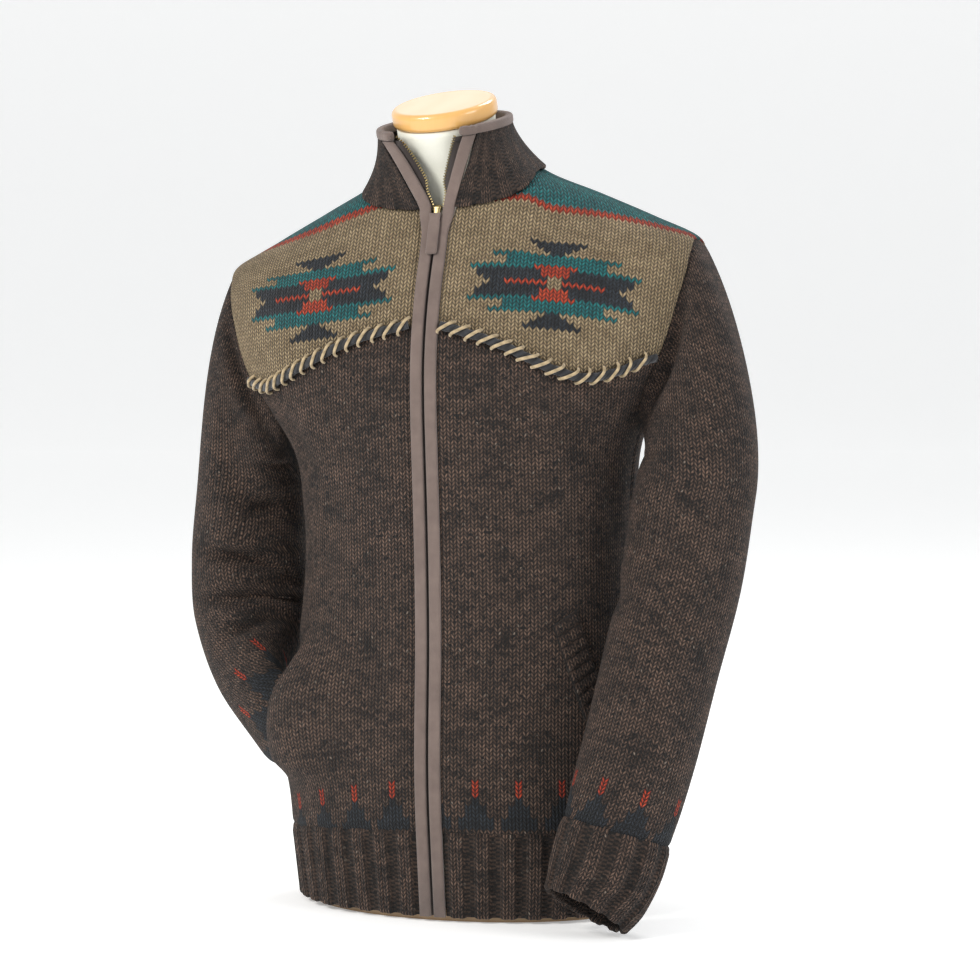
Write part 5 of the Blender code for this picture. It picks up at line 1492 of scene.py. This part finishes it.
def cuff(side, name, node):
    """A ribbed tube from the sleeve's last rings, evenly spaced round."""
    place = np.arange(CUFF_RIBS * FINE) / FINE
    share = np.linspace(CUFF_START, SLEEVES[side][-1, 0], 30)
    base = trim(tube(side, share, place / CUFF_RIBS * 360.0), True)
    ways = outward(base, grid_normals(base, True))
    up = np.linspace(1, 0, 30)[:, None]
    fade = CUFF_SCALE[side] * (1 - 0.5 * ease((up - 0.92) / 0.08))
    ribbing(name, base, ways, place, 0.0, [node], RIB_WALL * CUFF_SCALE[side], fade=fade, closed=True)


cuff(1, "rib_cuff_left", "cuff_left")
cuff(-1, "rib_cuff_right", "cuff_right")

# %% [markdown]
# ## Collar
# The collar stands up from the neck seam to a level ring. Its front edges part with the open zip. The
# same straight lines from seam to ring carry the ribs, and a small bow draws it in halfway up.

# %% The ribbed collar
COLLAR_OPEN, COLLAR_TOP, COLLAR_LIFT, COLLAR_BOW, COLLAR_RADIUS = 33.0, 0.7325, 1.5 * MM, 0.004, 0.0600
COLLAR_CENTRE, CORNER_FLARE = (-0.012, -0.038), 0.003
COLLAR_UP = unit(np.array([-ROLL, -NECK_TILT, 1.0]))
COLLAR_ROOM = 0.6 * MM
EDGE_ANGLE = COLLAR_OPEN + math.degrees(STRIP_EDGE / COLLAR_RADIUS)


def collar_top(side, angle, up=0.0, out=0.0):
    """A ring round the neck: angle from the front middle, wider at the corners by a Gaussian."""
    a = np.radians(angle)
    radius = COLLAR_RADIUS + out + CORNER_FLARE * np.exp(-((angle - COLLAR_OPEN) / 25.0) ** 2)
    x = COLLAR_CENTRE[0] + side * radius * np.sin(a)
    y = COLLAR_CENTRE[1] - radius * np.cos(a)
    return np.stack([x, y, COLLAR_TOP + up + NECK_TILT * (y - COLLAR_CENTRE[1])
                     + ROLL * (x - COLLAR_CENTRE[0])], axis=-1)


def neck_turn(share):
    """The neck seam's turn for a share of the way from the zip to the middle of the back."""
    start = float(zip_turn(NECK_FRONT, zip_edge(NECK_FRONT)))
    return start + (180 - start) * share


def collar_grid(side, share, rows):
    """Straight lines from neck seam to top ring, drawn in by 4 * bow * row * (1 - row)."""
    share, rows = np.asarray(share)[None, :], np.asarray(rows)[:, None]
    turn = neck_turn(share)
    base = body_point(side, turn, neckline(turn)) + np.array([0, 0, COLLAR_LIFT])
    top = collar_top(side, EDGE_ANGLE + (180 - EDGE_ANGLE) * share)
    mixed = rows[..., None]
    points = (1 - mixed) * base + mixed * top
    inward = points - np.array([COLLAR_CENTRE[0], NECK_MIDDLE, 0.0])
    inward[..., 2] = 0.0
    return points - COLLAR_BOW * 4 * mixed * (1 - mixed) * ease(share / 0.25)[..., None] * unit(inward)


def collar():
    """Both halves of the collar's grid, with ways out that match the seam below and the level ring."""
    share, place = even_shares(lambda s: collar_grid(1, s, [0.0])[0], COLLAR_PITCH)
    rows = np.linspace(0, 1, 24)
    base = np.concatenate([collar_grid(-1, share, rows), collar_grid(1, share, rows)[:, -2::-1]], axis=1)
    place = np.concatenate([place, 2 * place[-1] - place[-2::-1]])
    ways = unit(np.cross(np.gradient(base, axis=1), np.gradient(base, axis=0)))
    level = unit(ways[-1] - (ways[-1] @ COLLAR_UP)[:, None] * COLLAR_UP)
    turn = neck_turn(share)
    slope = [body_normal(side, turn, neckline(turn)) for side in (-1, 1)]
    seam = unit(2 * ways[0] + np.concatenate([slope[0], slope[1][-2::-1]]))
    high, low = ease((rows - 0.5) / 0.5)[:, None, None], ease(1 - rows / 0.5)[:, None, None]
    ways = unit(ways + high * (level - ways) + low * (seam - ways))
    base = trim(base)
    for end, near in ((0, 1), (-1, -2)):
        base[:, end] += COLLAR_ROOM * unit(base[:, near] - base[:, end])
    fade = 1 - 0.5 * ease(1 - rows[:, None] / 0.15) - 0.25 * ease((rows[:, None] - 0.93) / 0.07)
    ribbing("rib_collar", base, ways, place, 0.0, ["collar"], fade=fade)


collar()

# %% [markdown]
# ## Tapes and the zip
# The collar's top edge and both edges of the zip are bound in padded tape. Each is a bar swept along its
# line: a profile, given across the line and out of the cloth, at every station. The zip's tape lies
# under the padded strips as far up as the slider, and stands out past them where the zip is open.

# %% Bars swept along lines
STRIP_DEEP, STRIP_PROUD, TAPE_THICK, TAPE_OPEN = 2.2 * MM, 2.8 * MM, 1.1 * MM, 5.0 * MM


def bar(centre, across, out, profile):
    """Rings of profile points round each station."""
    profile = np.broadcast_to(profile, (len(centre),) + np.shape(profile)[-2:])
    return centre[:, None] + profile[..., 0:1] * across[:, None] + profile[..., 1:2] * out[:, None]


def zip_line(side):
    """The zip's edge from hem to collar, with the ways across and out at each station."""
    low = YOKE_EDGE[0, 1 if side > 0 else 2]
    heights = np.concatenate([[HEM_BOTTOM], np.linspace(HEM_TOP, low, 60),
                              np.linspace(low, NECK_FRONT, 24)[1:]])
    edge = zip_edge(heights)
    cloth = body_point(side, zip_turn(heights, edge), heights)
    across = unit(cloth - body_point(side, zip_turn(heights, edge - STRIP_EDGE + 0.1 * MM), heights))
    rows = np.append(np.linspace(0.08, 0.80, 12), 0.97)
    collar_edge = collar_grid(side, np.array([0.0, 0.02]), rows)
    cloth = np.concatenate([cloth, collar_edge[:, 0]])
    across = np.concatenate([across, unit(collar_edge[:, 1] - collar_edge[:, 0])])
    along = unit(np.gradient(cloth, axis=0))
    for _ in range(2):
        along[1:-1] = unit(along[:-2] + along[1:-1] + along[2:])
    out = unit(np.cross(across, along)) * side
    across = unit(np.cross(along, out)) * side
    return cloth - STRIP_EDGE * across, across, out, np.concatenate([heights, 1.0 + rows])


def level_top(side, centre, rings):
    """Slides the last ring along the zip until it lies level with the collar's top edge."""
    along = unit(centre[-1] - centre[-2])
    above = (rings[-1] - collar_top(side, COLLAR_OPEN)) @ COLLAR_UP
    rings[-1] -= (above / (along @ COLLAR_UP))[:, None] * along
    return rings


def rounded(left, right, low, high, sides=16, power=0.45):
    """A squarish oval inside a box: cosine and sine raised to a power under 1, with their signs."""
    a = (np.arange(sides) + 0.5) * 2 * math.pi / sides
    c, s = np.cos(a), np.sin(a)
    x = (left + right) / 2 + (right - left) / 2 * np.sign(c) * np.abs(c) ** power
    y = (low + high) / 2 + (high - low) / 2 * np.sign(s) * np.abs(s) ** power
    return np.stack([x, y], axis=-1)


def zip_side(side, word):
    """One side of the zip: a padded strip, and a tape of four corners under it that parts upward."""
    centre, across, out, height = zip_line(side)
    strip = level_top(side, centre, bar(centre, across, out, rounded(
        ZIP_GAP, STRIP_EDGE - 0.15 * MM, -STRIP_DEEP, STRIP_PROUD, 20, 0.5)))
    piece = add(f"padded_strip_{word}", loft(strip), [f"zip_binding_{word}"], tape_taupe)
    opened = ease((height - 1.10) / 0.22)
    profile = np.zeros((len(centre), 4, 2))
    behind = -STRIP_DEEP - (0.3 + 1.0 * opened) * MM
    profile[:, 1:3, 0] = STRIP_EDGE - 1.5 * MM
    profile[:, 0, 0] = profile[:, 3, 0] = 0.15 * MM * (1 - opened) - TAPE_OPEN * opened
    profile[:, :2, 1] = behind[:, None]
    profile[:, 2:, 1] = behind[:, None] - TAPE_THICK
    tape = level_top(side, centre, bar(centre, across, out, profile))
    add(f"woven_tape_{word}", loft(tape), [f"zip_tape_{word}"], tape_dark)
    return centre, across, out, profile, height


ZIP_SIDES = {side: zip_side(side, word) for side, word in ((1, "left"), (-1, "right"))}

# %% [markdown]
# ## Teeth, slider and pull
# The teeth are small brass blocks, evenly spaced, on the inner edge of each tape. One cube's corners are
# placed at every station at once. The slider is a small bell with a pin, and the pull is a folded pad of
# tape on it, the one part that turns freely.

# %% Brass and the pull
TOOTH_PITCH, TOOTH_WIDE, TOOTH_TALL, TOOTH_DEEP = 2.6 * MM, 2.2 * MM, 1.2 * MM, 1.7 * MM
OPEN_FROM = 0.653           # height from which the two sides have parted
BOX = np.array([(x, y, z) for z in (-0.5, 0.5) for y in (-0.5, 0.5) for x in (-0.5, 0.5)])
BOX_FACES = np.array([(0, 2, 3, 1), (4, 5, 7, 6), (0, 1, 5, 4), (2, 6, 7, 3), (0, 4, 6, 2), (1, 3, 7, 5)])


def teeth(side):
    """Cubes at equal steps along the tape's inner edge: corners = place + size * frame of each step."""
    centre, across, out, profile, height = ZIP_SIDES[side]
    inner = centre + profile[:, 0, 0:1] * across + (profile[:, 0, 1:2] - TAPE_THICK / 2) * out
    run = run_along(inner, 0)
    first = run[np.searchsorted(height, OPEN_FROM)]
    steps = np.arange(first + TOOTH_PITCH * (0.5 if side > 0 else 1.0), run[-1] - 4 * MM, TOOTH_PITCH)

    def at(values):
        return np.stack([np.interp(steps, run, values[:, k]) for k in range(3)], axis=-1)

    ways, place, side_way = unit(at(out)), at(inner), unit(at(across))
    along = unit(np.cross(ways, side_way))
    sizes = BOX * np.array([TOOTH_WIDE, TOOTH_TALL, TOOTH_DEEP])
    corners = (place[:, None] + sizes[None, :, 0:1] * side_way[:, None]
               + sizes[None, :, 1:2] * along[:, None]
               + sizes[None, :, 2:3] * ways[:, None])
    faces = (BOX_FACES[None] + 8 * np.arange(len(steps))[:, None, None]).reshape(-1, 4)
    return corners.reshape(-1, 3), faces, np.zeros(faces.shape + (2,)), {}, np.zeros(len(faces), dtype=bool)


for side, word in ((1, "left"), (-1, "right")):
    add(f"zip_teeth_{word}", teeth(side), [], brass)

PULL_LENGTH, PULL_HALF, PULL_THICK, AXIS_OUT, AXIS_HEIGHT = 0.038, 0.0055, 3.0 * MM, 4.9 * MM, 0.6545
middle = body_point(1, 0.0, AXIS_HEIGHT)
down = unit(body_point(1, 0.0, AXIS_HEIGHT - PULL_LENGTH) - middle)
sideways = unit(body_point(1, 4.0, AXIS_HEIGHT) - body_point(-1, 4.0, AXIS_HEIGHT))
ahead = unit(np.cross(down, sideways))
ahead *= np.sign(-ahead[1])
BELL = np.array([
    # distance below the pin, half width, back, face (out of the cloth)
    (-0.0105, 0.0026, -1.6 * MM, 1.2 * MM),
    (-0.0095, 0.0036, -2.0 * MM, 2.2 * MM),
    (-0.0050, 0.0034, -2.0 * MM, 2.8 * MM),
    (0.0000, 0.0028, -2.0 * MM, 2.9 * MM),
    (0.0030, 0.0023, -2.0 * MM, 2.9 * MM),
    (0.0045, 0.0018, -1.6 * MM, 2.2 * MM),
])


def slider():
    """An oval section whose width and depth follow a smooth table down the zip."""
    s = np.linspace(BELL[0, 0], BELL[-1, 0], 22)
    profile = np.stack([rounded(-w, w, b, f, 20, 0.6) for w, b, f in
                        zip(*(smooth(BELL, k, s) for k in (1, 2, 3)))])
    line = middle + s[:, None] * down
    return loft(bar(line, np.tile(sideways, (22, 1)), np.tile(ahead, (22, 1)), profile))


def pull():
    """A pad: an oval section that rounds off at both ends, the upper end about the pin."""
    s = np.linspace(0, 1, 34)
    reach = -PULL_THICK / 2 + (PULL_LENGTH + PULL_THICK / 2) * (1 - np.cos(s * math.pi)) / 2
    tip = np.sqrt(np.clip(1 - (np.clip(1.5 * MM - (reach - reach[0]), 0, None) / (1.5 * MM)) ** 2, 0.03, 1))
    toe = np.sqrt(np.clip(1 - (np.clip(2.0 * MM - (reach[-1] - reach), 0, None) / (2.0 * MM)) ** 2, 0.03,
                          1))
    half = PULL_HALF * (1 - 0.10 * np.exp(-((reach - 0.004) / 0.003) ** 2)) * np.minimum(1.0,
                                                                                         0.55 + 0.45 * toe)
    thick = PULL_THICK / 2 * tip * toe
    profile = np.stack([rounded(-w, w, -t, t, 20, 0.6) for w, t in zip(half, thick)])
    line = middle + AXIS_OUT * ahead + reach[:, None] * down
    return loft(bar(line, np.tile(sideways, (34, 1)), np.tile(ahead, (34, 1)), profile))


add("brass_slider", slider(), ["zip_slider"], brass)
pull_tab = add("padded_pull", pull(), ["zip_pull"], tape_taupe, "pull")


def collar_tape():
    """An oval bar round the collar's top edge, pinched in small pleats near the corners."""
    angle = np.linspace(COLLAR_OPEN - 1.5, 180, 90)
    centre = np.concatenate([collar_top(1, angle), collar_top(-1, angle[-2::-1])])
    fold = np.concatenate([angle, angle[-2::-1]])
    along = unit(np.gradient(centre, axis=0))
    up = np.broadcast_to(COLLAR_UP, along.shape)
    out = unit(np.cross(along, up))
    out *= np.sign((out * (centre - np.array([*COLLAR_CENTRE, COLLAR_TOP]))).sum(-1, keepdims=True))
    pinch = 1 - 0.14 * np.exp(-((fold - 46.0) / 1.6) ** 2) - 0.10 * np.exp(-((fold - 41.0) / 1.4) ** 2)
    run = run_along(centre, 0)
    near = np.clip(np.minimum(run, run[-1] - run) / (4 * MM), 0, 1)
    tip = 0.55 + 0.45 * np.sqrt(1 - (1 - near) ** 2)
    profile = np.stack([rounded(-0.0040 * t, 0.0037 * p * t, 0.0003 + 0.0040 * (1 - t),
                                0.0092 * p - 0.0040 * (1 - t),
                                20, 0.55) for p, t in zip(pinch, tip)])
    return loft(bar(centre, out, up, profile))


binding = add("padded_collar_edge", collar_tape(), ["collar_binding"], tape_taupe)

# %% [markdown]
# ## Pocket welt, cords and whip stitches
# The wearer's left pocket is edged with a slanted band, ribbed across. A charcoal cord covers the seam
# under each yoke, and tan yarn is whipped over it in long slanted stitches. A stitch is an arch: up out
# of the yoke, over the cord, and down into the panel.

# %% Welt, cords and stitches
WELT_RIBS, WELT_WIDE_TURN, WELT_RISE, WELT_THICK, WELT_RIDGE = 12, 10.0, 0.013, 2.1 * MM, 1.5 * MM
WELT_HIGH, WELT_LOW = (42.0, 0.279), (59.0, 0.146)


def welt():
    """A slanted band of cross ribs: height = ridge * |sin(pi * place)|^0.8, level at its long edges."""
    place = np.linspace(0, WELT_RIBS, WELT_RIBS * 10 + 1)
    share = (place / WELT_RIBS)[None, :]
    wide = np.linspace(0, 1, 14)[:, None]
    turn = WELT_HIGH[0] + (WELT_LOW[0] - WELT_HIGH[0]) * share + WELT_WIDE_TURN * wide
    height = WELT_HIGH[1] + (WELT_LOW[1] - WELT_HIGH[1]) * share + WELT_RISE * wide
    base = body_point(1, turn, height, 0.5 * MM)
    ways = body_normal(1, turn, height)
    raised = np.abs(np.sin(place * math.pi)) ** 0.8
    top = WELT_THICK + WELT_RIDGE * raised[None] * ease(edge_distance(base, ("bottom", "top")) / 3e-3)
    uv = np.stack([run_along(base, 1), run_along(base, 0)], axis=-1)
    turned_uv = uv[..., ::-1]
    shape = wall(base + top[..., None] * ways, ways, turned_uv, thick=top,
                 values={"rib": np.broadcast_to(raised[None], base.shape[:2])})
    piece = add("rib_pocket_welt", shape, ["pocket_welt_left"], knit_rib)


CORD_WIDE, CORD_THICK, CORD_CLEAR, CORD_LAY = 4.3 * MM, 2.7 * MM, 0.6 * MM, 9.0 * MM
STITCH_STEP, STITCH_REACH, STITCH_LEAN, STITCH_THICK = 13.6 * MM, 6.8 * MM, 7.0 * MM, 1.35 * MM


def edge_line(side):
    """The yoke's lower edge as points and ways out, evenly spaced. Side 0 is the whole back."""
    if side:
        edge = yoke_map(side, False, 2, 260)[0]
        points, ways = (f(side, edge[:, 0], edge[:, 1]) for f in (body_point, body_normal))
    else:
        edge = yoke_map(1, True, 2, 260)[0]
        points = np.concatenate([body_point(-1, edge[:, 0], edge[:, 1])[:0:-1],
                                 body_point(1, edge[:, 0], edge[:, 1])])
        ways = np.concatenate([body_normal(-1, edge[:, 0], edge[:, 1])[:0:-1],
                               body_normal(1, edge[:, 0], edge[:, 1])])
    return points, ways


def cut_line(points, ways, start, end, count):
    """The part of a line between two distances from its ends, in equal steps."""
    run = run_along(points, 0)
    steps = np.linspace(start, run[-1] - end, count)
    pick = [np.stack([np.interp(steps, run, a[:, k]) for k in range(3)], axis=-1) for a in (points, ways)]
    return pick[0], unit(pick[1]), steps


def cord_shape(side, start):
    """Two plies: the radius dips where the angle less the twist is square to them."""
    points, ways, steps = cut_line(*edge_line(side), start, 6 * MM, 700 if side == 0 else 360)
    centre = points + (CORD_THICK + CORD_CLEAR) * ways
    along = unit(np.gradient(centre, axis=0))
    across = unit(np.cross(ways, along))
    a = np.arange(18) * 2 * math.pi / 18
    twist = np.abs(np.cos(a[None] - steps[:, None] / CORD_LAY * math.pi)) ** 0.8
    size = 0.84 + 0.16 * twist
    profile = np.stack([CORD_WIDE * np.cos(a) * size, CORD_THICK * np.sin(a) * size], axis=-1)
    return loft(bar(centre, across, ways, profile))


def stitch_shapes(side, start):
    """Arches in equal steps: t from -1 to 1 across the cord, lift = sqrt(1 - t^2), and t * lean along
    it."""
    points, ways = edge_line(side)
    run = run_along(points, 0)
    steps = np.arange(start + 5 * MM, run[-1] - 12 * MM, STITCH_STEP)
    lean = np.where(side < 0, -1.0, 1.0) * STITCH_LEAN
    t = np.sin(np.linspace(-1, 1, 13) * math.pi / 2)
    shapes = []
    for k, step in enumerate(steps):
        at = np.clip(step + lean * t * (1 + 0.12 * math.sin(2.3 * k)), 0, run[-1])
        line = np.stack([np.interp(at, run, points[:, j]) for j in range(3)], axis=-1)
        out = unit(np.stack([np.interp(at, run, ways[:, j]) for j in range(3)], axis=-1))
        along = unit(np.stack([np.interp(at + 1e-3, run, points[:, j]) for j in range(3)], axis=-1)
                     - np.stack([np.interp(at - 1e-3, run, points[:, j]) for j in range(3)], axis=-1))
        up = unit(np.cross(along, out))
        up *= np.sign(up[:, 2:3])
        lift = -1.2 * MM + (2 * CORD_THICK + CORD_CLEAR + STITCH_THICK
                            + 0.6 * MM) * (1 - t ** 4 * 0.999) ** 0.5
        centre = line + (t * STITCH_REACH)[:, None] * up + lift[:, None] * out
        way = unit(np.gradient(centre, axis=0))
        aside = unit(np.cross(way, out))
        over = unit(np.cross(aside, way))
        a = np.arange(8) * 2 * math.pi / 8
        ring = np.stack([1.15 * STITCH_THICK * np.cos(a), 0.9 * STITCH_THICK * np.sin(a)], axis=-1)
        shapes.append(turned_out(loft(bar(centre, aside, over, ring))))
    print("   stitches:", len(steps), "on a seam of", round(float(run[-1]), 3), "m")
    return merge(shapes)


for side, word, start in ((1, "left", 3 * MM), (-1, "right", 3 * MM), (0, "back", 6 * MM)):
    add(f"twisted_cord_{word}", cord_shape(side, start), [f"yoke_cord_{word}"], cord_charcoal)
    add(f"whip_stitches_{word}", stitch_shapes(side, start), [], whip_tan)
welt()

# %% [markdown]
# ## The dress form
# The torso shows in the open neck and under the hem, so it gets the frame's sections, finely sampled. The
# cap is a turned disc: a profile of radius and height, spun round the neck's own axis.

# %% Torso and neck cap
FORM = np.array([
    # height, half_width, front, back, forward
    (0.0123, 0.150, 0.098, 0.095, 0.000),
    (0.100, 0.153, 0.102, 0.098, 0.000),
    (0.250, 0.138, 0.096, 0.092, 0.000),
    (0.380, 0.140, 0.100, 0.094, -0.002),
    (0.450, 0.150, 0.106, 0.100, -0.005),
    (0.520, 0.180, 0.106, 0.102, -0.008),
    (0.570, 0.194, 0.095, 0.096, -0.011),
    (0.600, 0.193, 0.082, 0.086, -0.014),
    (0.615, 0.190, 0.074, 0.080, -0.015),
    (0.6349, 0.184, 0.064, 0.070, -0.016),
    (0.6599, 0.1315, 0.058, 0.064, -0.019),
    (0.680, 0.086, 0.052, 0.056, -0.022),
    (0.695, 0.056, 0.047, 0.048, -0.027),
    (0.715, 0.046, 0.045, 0.045, -0.034),
    (0.7475, 0.045, 0.045, 0.045, -0.042),
])
CAP_RADIUS, CAP_THICK, CAP_ROUND = 0.0495, 0.017, 0.005
NOD, NOD_DROP, NOD_FROM, NOD_FULL, NOD_MIDDLE = 0.115, 4.0 * MM, 0.715, 0.7475, -0.042


def nod(points, height):
    """Tips the neck's top a little further forward: z rises by a share of y behind the neck's middle."""
    more = (NOD * (points[..., 1] - NOD_MIDDLE)
            - NOD_DROP) * ease((np.asarray(height) - NOD_FROM) / (NOD_FULL - NOD_FROM))
    return points + more[..., None] * np.array([0.0, 0.0, 1.0])


def form_ring(height, count=96):
    """One ring of the form's section table at a height."""
    turn = np.arange(count) * 360.0 / count
    side = np.where(turn <= 180, 1, -1)
    return nod(section_point(FORM, side, np.where(turn <= 180, turn, 360 - turn), height), height)


add("padded_torso", loft(np.stack([form_ring(z) for z in np.linspace(FORM[0, 0], FORM[-1, 0], 110)])),
    ["form_torso"], form_jersey)


def cap():
    """Quarter circles join the flat faces to the side, and the rings close on small ones at the middle."""
    ring = section_point(FORM, np.array([1, 1, -1, 1]), np.array([90.0, 0.0, 90.0, 180.0]), FORM[-1, 0])
    ring = nod(ring, FORM[-1, 0])
    across, back_way = unit(ring[0] - ring[2]), unit(ring[3] - ring[1])
    up = unit(np.cross(across, back_way))
    back_way = np.cross(up, across)
    centre = ring.mean(axis=0) + (CAP_THICK / 2 + 0.3 * MM) * up
    bend = np.linspace(0, math.pi / 2, 8)
    radius = np.concatenate([[0.001, 0.5 * CAP_RADIUS, CAP_RADIUS - CAP_ROUND - 1e-3],
                             CAP_RADIUS - CAP_ROUND + CAP_ROUND * np.sin(bend)])
    level = np.concatenate([np.full(3, -CAP_THICK / 2), -CAP_THICK / 2 + CAP_ROUND * (1 - np.cos(bend))])
    radius, level = np.concatenate([radius, radius[::-1]]), np.concatenate([level, -level[::-1]])
    a = np.arange(96) * 2 * math.pi / 96
    rings = (centre + radius[:, None, None] * (np.cos(a)[None, :, None] * across
                                               + np.sin(a)[None, :, None] * back_way)
             + level[:, None, None] * up)
    points, faces, places, _, smooth_faces = loft(rings)
    rim = np.repeat(ease((radius - 0.86 * CAP_RADIUS) / (0.1 * CAP_RADIUS)), 96)
    return points, faces, places, {"rim": rim}, smooth_faces


add("turned_cap", cap(), ["form_neck_cap"], cap_wood)
plate = bpy.data.objects["form_base"]
for number in range(len(plate.material_slots)):
    plate.material_slots[number].material = base_wood
print("the base keeps its solid, in wood")

# %% [markdown]
# ## Floor, light and camera
# The sweater stands on a plain pale floor that curves up behind it. One large soft light from the front
# left shapes the folds, a wide fill opens the shadows, and a soft one from above separates the shoulders
# from the backdrop. The camera stands where the photographer did, a little to the wearer's left.

# %% Stage
FLOOR_NEAR, FLOOR_FAR, WALL_BEND, WALL_HIGH, HALF_WIDE = -7.0, 5.2, 1.6, 7.0, 9.0


def backdrop():
    """A floor that turns up into a wall: rows along a line with a quarter circle in it."""
    bend = np.linspace(0, math.pi / 2, 16)
    y = np.concatenate([[FLOOR_NEAR, FLOOR_FAR], FLOOR_FAR + WALL_BEND * np.sin(bend),
                        [FLOOR_FAR + WALL_BEND]])
    z = np.concatenate([[0.0, 0.0], WALL_BEND * (1 - np.cos(bend)), [WALL_HIGH]])
    x = np.array([-HALF_WIDE, HALF_WIDE])
    points = np.stack([np.broadcast_to(x[None], (len(y), 2)), np.broadcast_to(y[:, None], (len(y), 2)),
                       np.broadcast_to(z[:, None], (len(y), 2))], axis=-1).reshape(-1, 3)
    mesh = bpy.data.meshes.new("backdrop")
    mesh.from_pydata(points.tolist(), [], quads(len(y), 2, False, False).tolist())
    for face in mesh.polygons:
        face.use_smooth = True
    turn = math.radians(CAMERA_TURN)
    obj = bpy.data.objects.new("backdrop", mesh)
    obj.rotation_euler = (0, 0, turn)
    bpy.context.scene.collection.objects.link(obj)
    made, _, shader = finish("pale paper", 0.9)
    shader.inputs["Base Color"].default_value = (0.93, 0.93, 0.92, 1)
    shader.inputs["Emission Color"].default_value = (1, 1, 1, 1)
    shader.inputs["Emission Strength"].default_value = 0.30
    obj.data.materials.append(made)
    return obj


def soft_light(name, turn, height, distance, size, power, colour=(1, 1, 1)):
    """A round soft light at an angle, height and distance, aimed at the sweater's middle."""
    lamp = bpy.data.lights.new(name, "AREA")
    lamp.shape, lamp.size, lamp.energy, lamp.color = "DISK", size, power, colour
    obj = bpy.data.objects.new(name, lamp)
    a = math.radians(turn)
    obj.location = (distance * math.sin(a), -distance * math.cos(a), height)
    obj.rotation_euler = (TARGET - obj.location).to_track_quat("-Z", "Y").to_euler()
    bpy.context.scene.collection.objects.link(obj)
    return obj


CAMERA_TURN, CAMERA_RISE, CAMERA_FAR = 19.0, 5.0, 4.2
TARGET = Vector((0.0, 0.0, 0.41))
floor = backdrop()
lights = [
    soft_light("key", -34.0, 2.2, 2.6, 1.1, 66.0, (1.0, 0.98, 0.95)),
    soft_light("fill", 74.0, 1.5, 3.0, 1.6, 34.0, (0.97, 0.98, 1.0)),
    soft_light("top", 160.0, 2.6, 1.6, 1.2, 30.0),
]

world = bpy.data.worlds.new("soft room")
world.use_nodes = True
world.node_tree.nodes["Background"].inputs["Color"].default_value = (0.95, 0.97, 1.0, 1)
world.node_tree.nodes["Background"].inputs["Strength"].default_value = 0.45
bpy.context.scene.world = world

turn, rise = math.radians(CAMERA_TURN), math.radians(CAMERA_RISE)
back_off = Vector((math.sin(turn) * math.cos(rise), -math.cos(turn) * math.cos(rise), math.sin(rise)))
lens = bpy.data.cameras.new("camera")
camera = bpy.data.objects.new("camera", lens)
camera.location = TARGET + CAMERA_FAR * back_off
camera.rotation_euler = (-back_off).to_track_quat("-Z", "Y").to_euler()
lens.sensor_width, lens.lens, lens.shift_x, lens.shift_y = 36.0, 163.08, 0.019388, -0.018448
lens.clip_end = 50.0
bpy.context.scene.collection.objects.link(camera)
bpy.context.scene.camera = camera
bpy.context.scene.view_settings.view_transform = "Standard"
print("camera at", [round(c, 3) for c in camera.location])
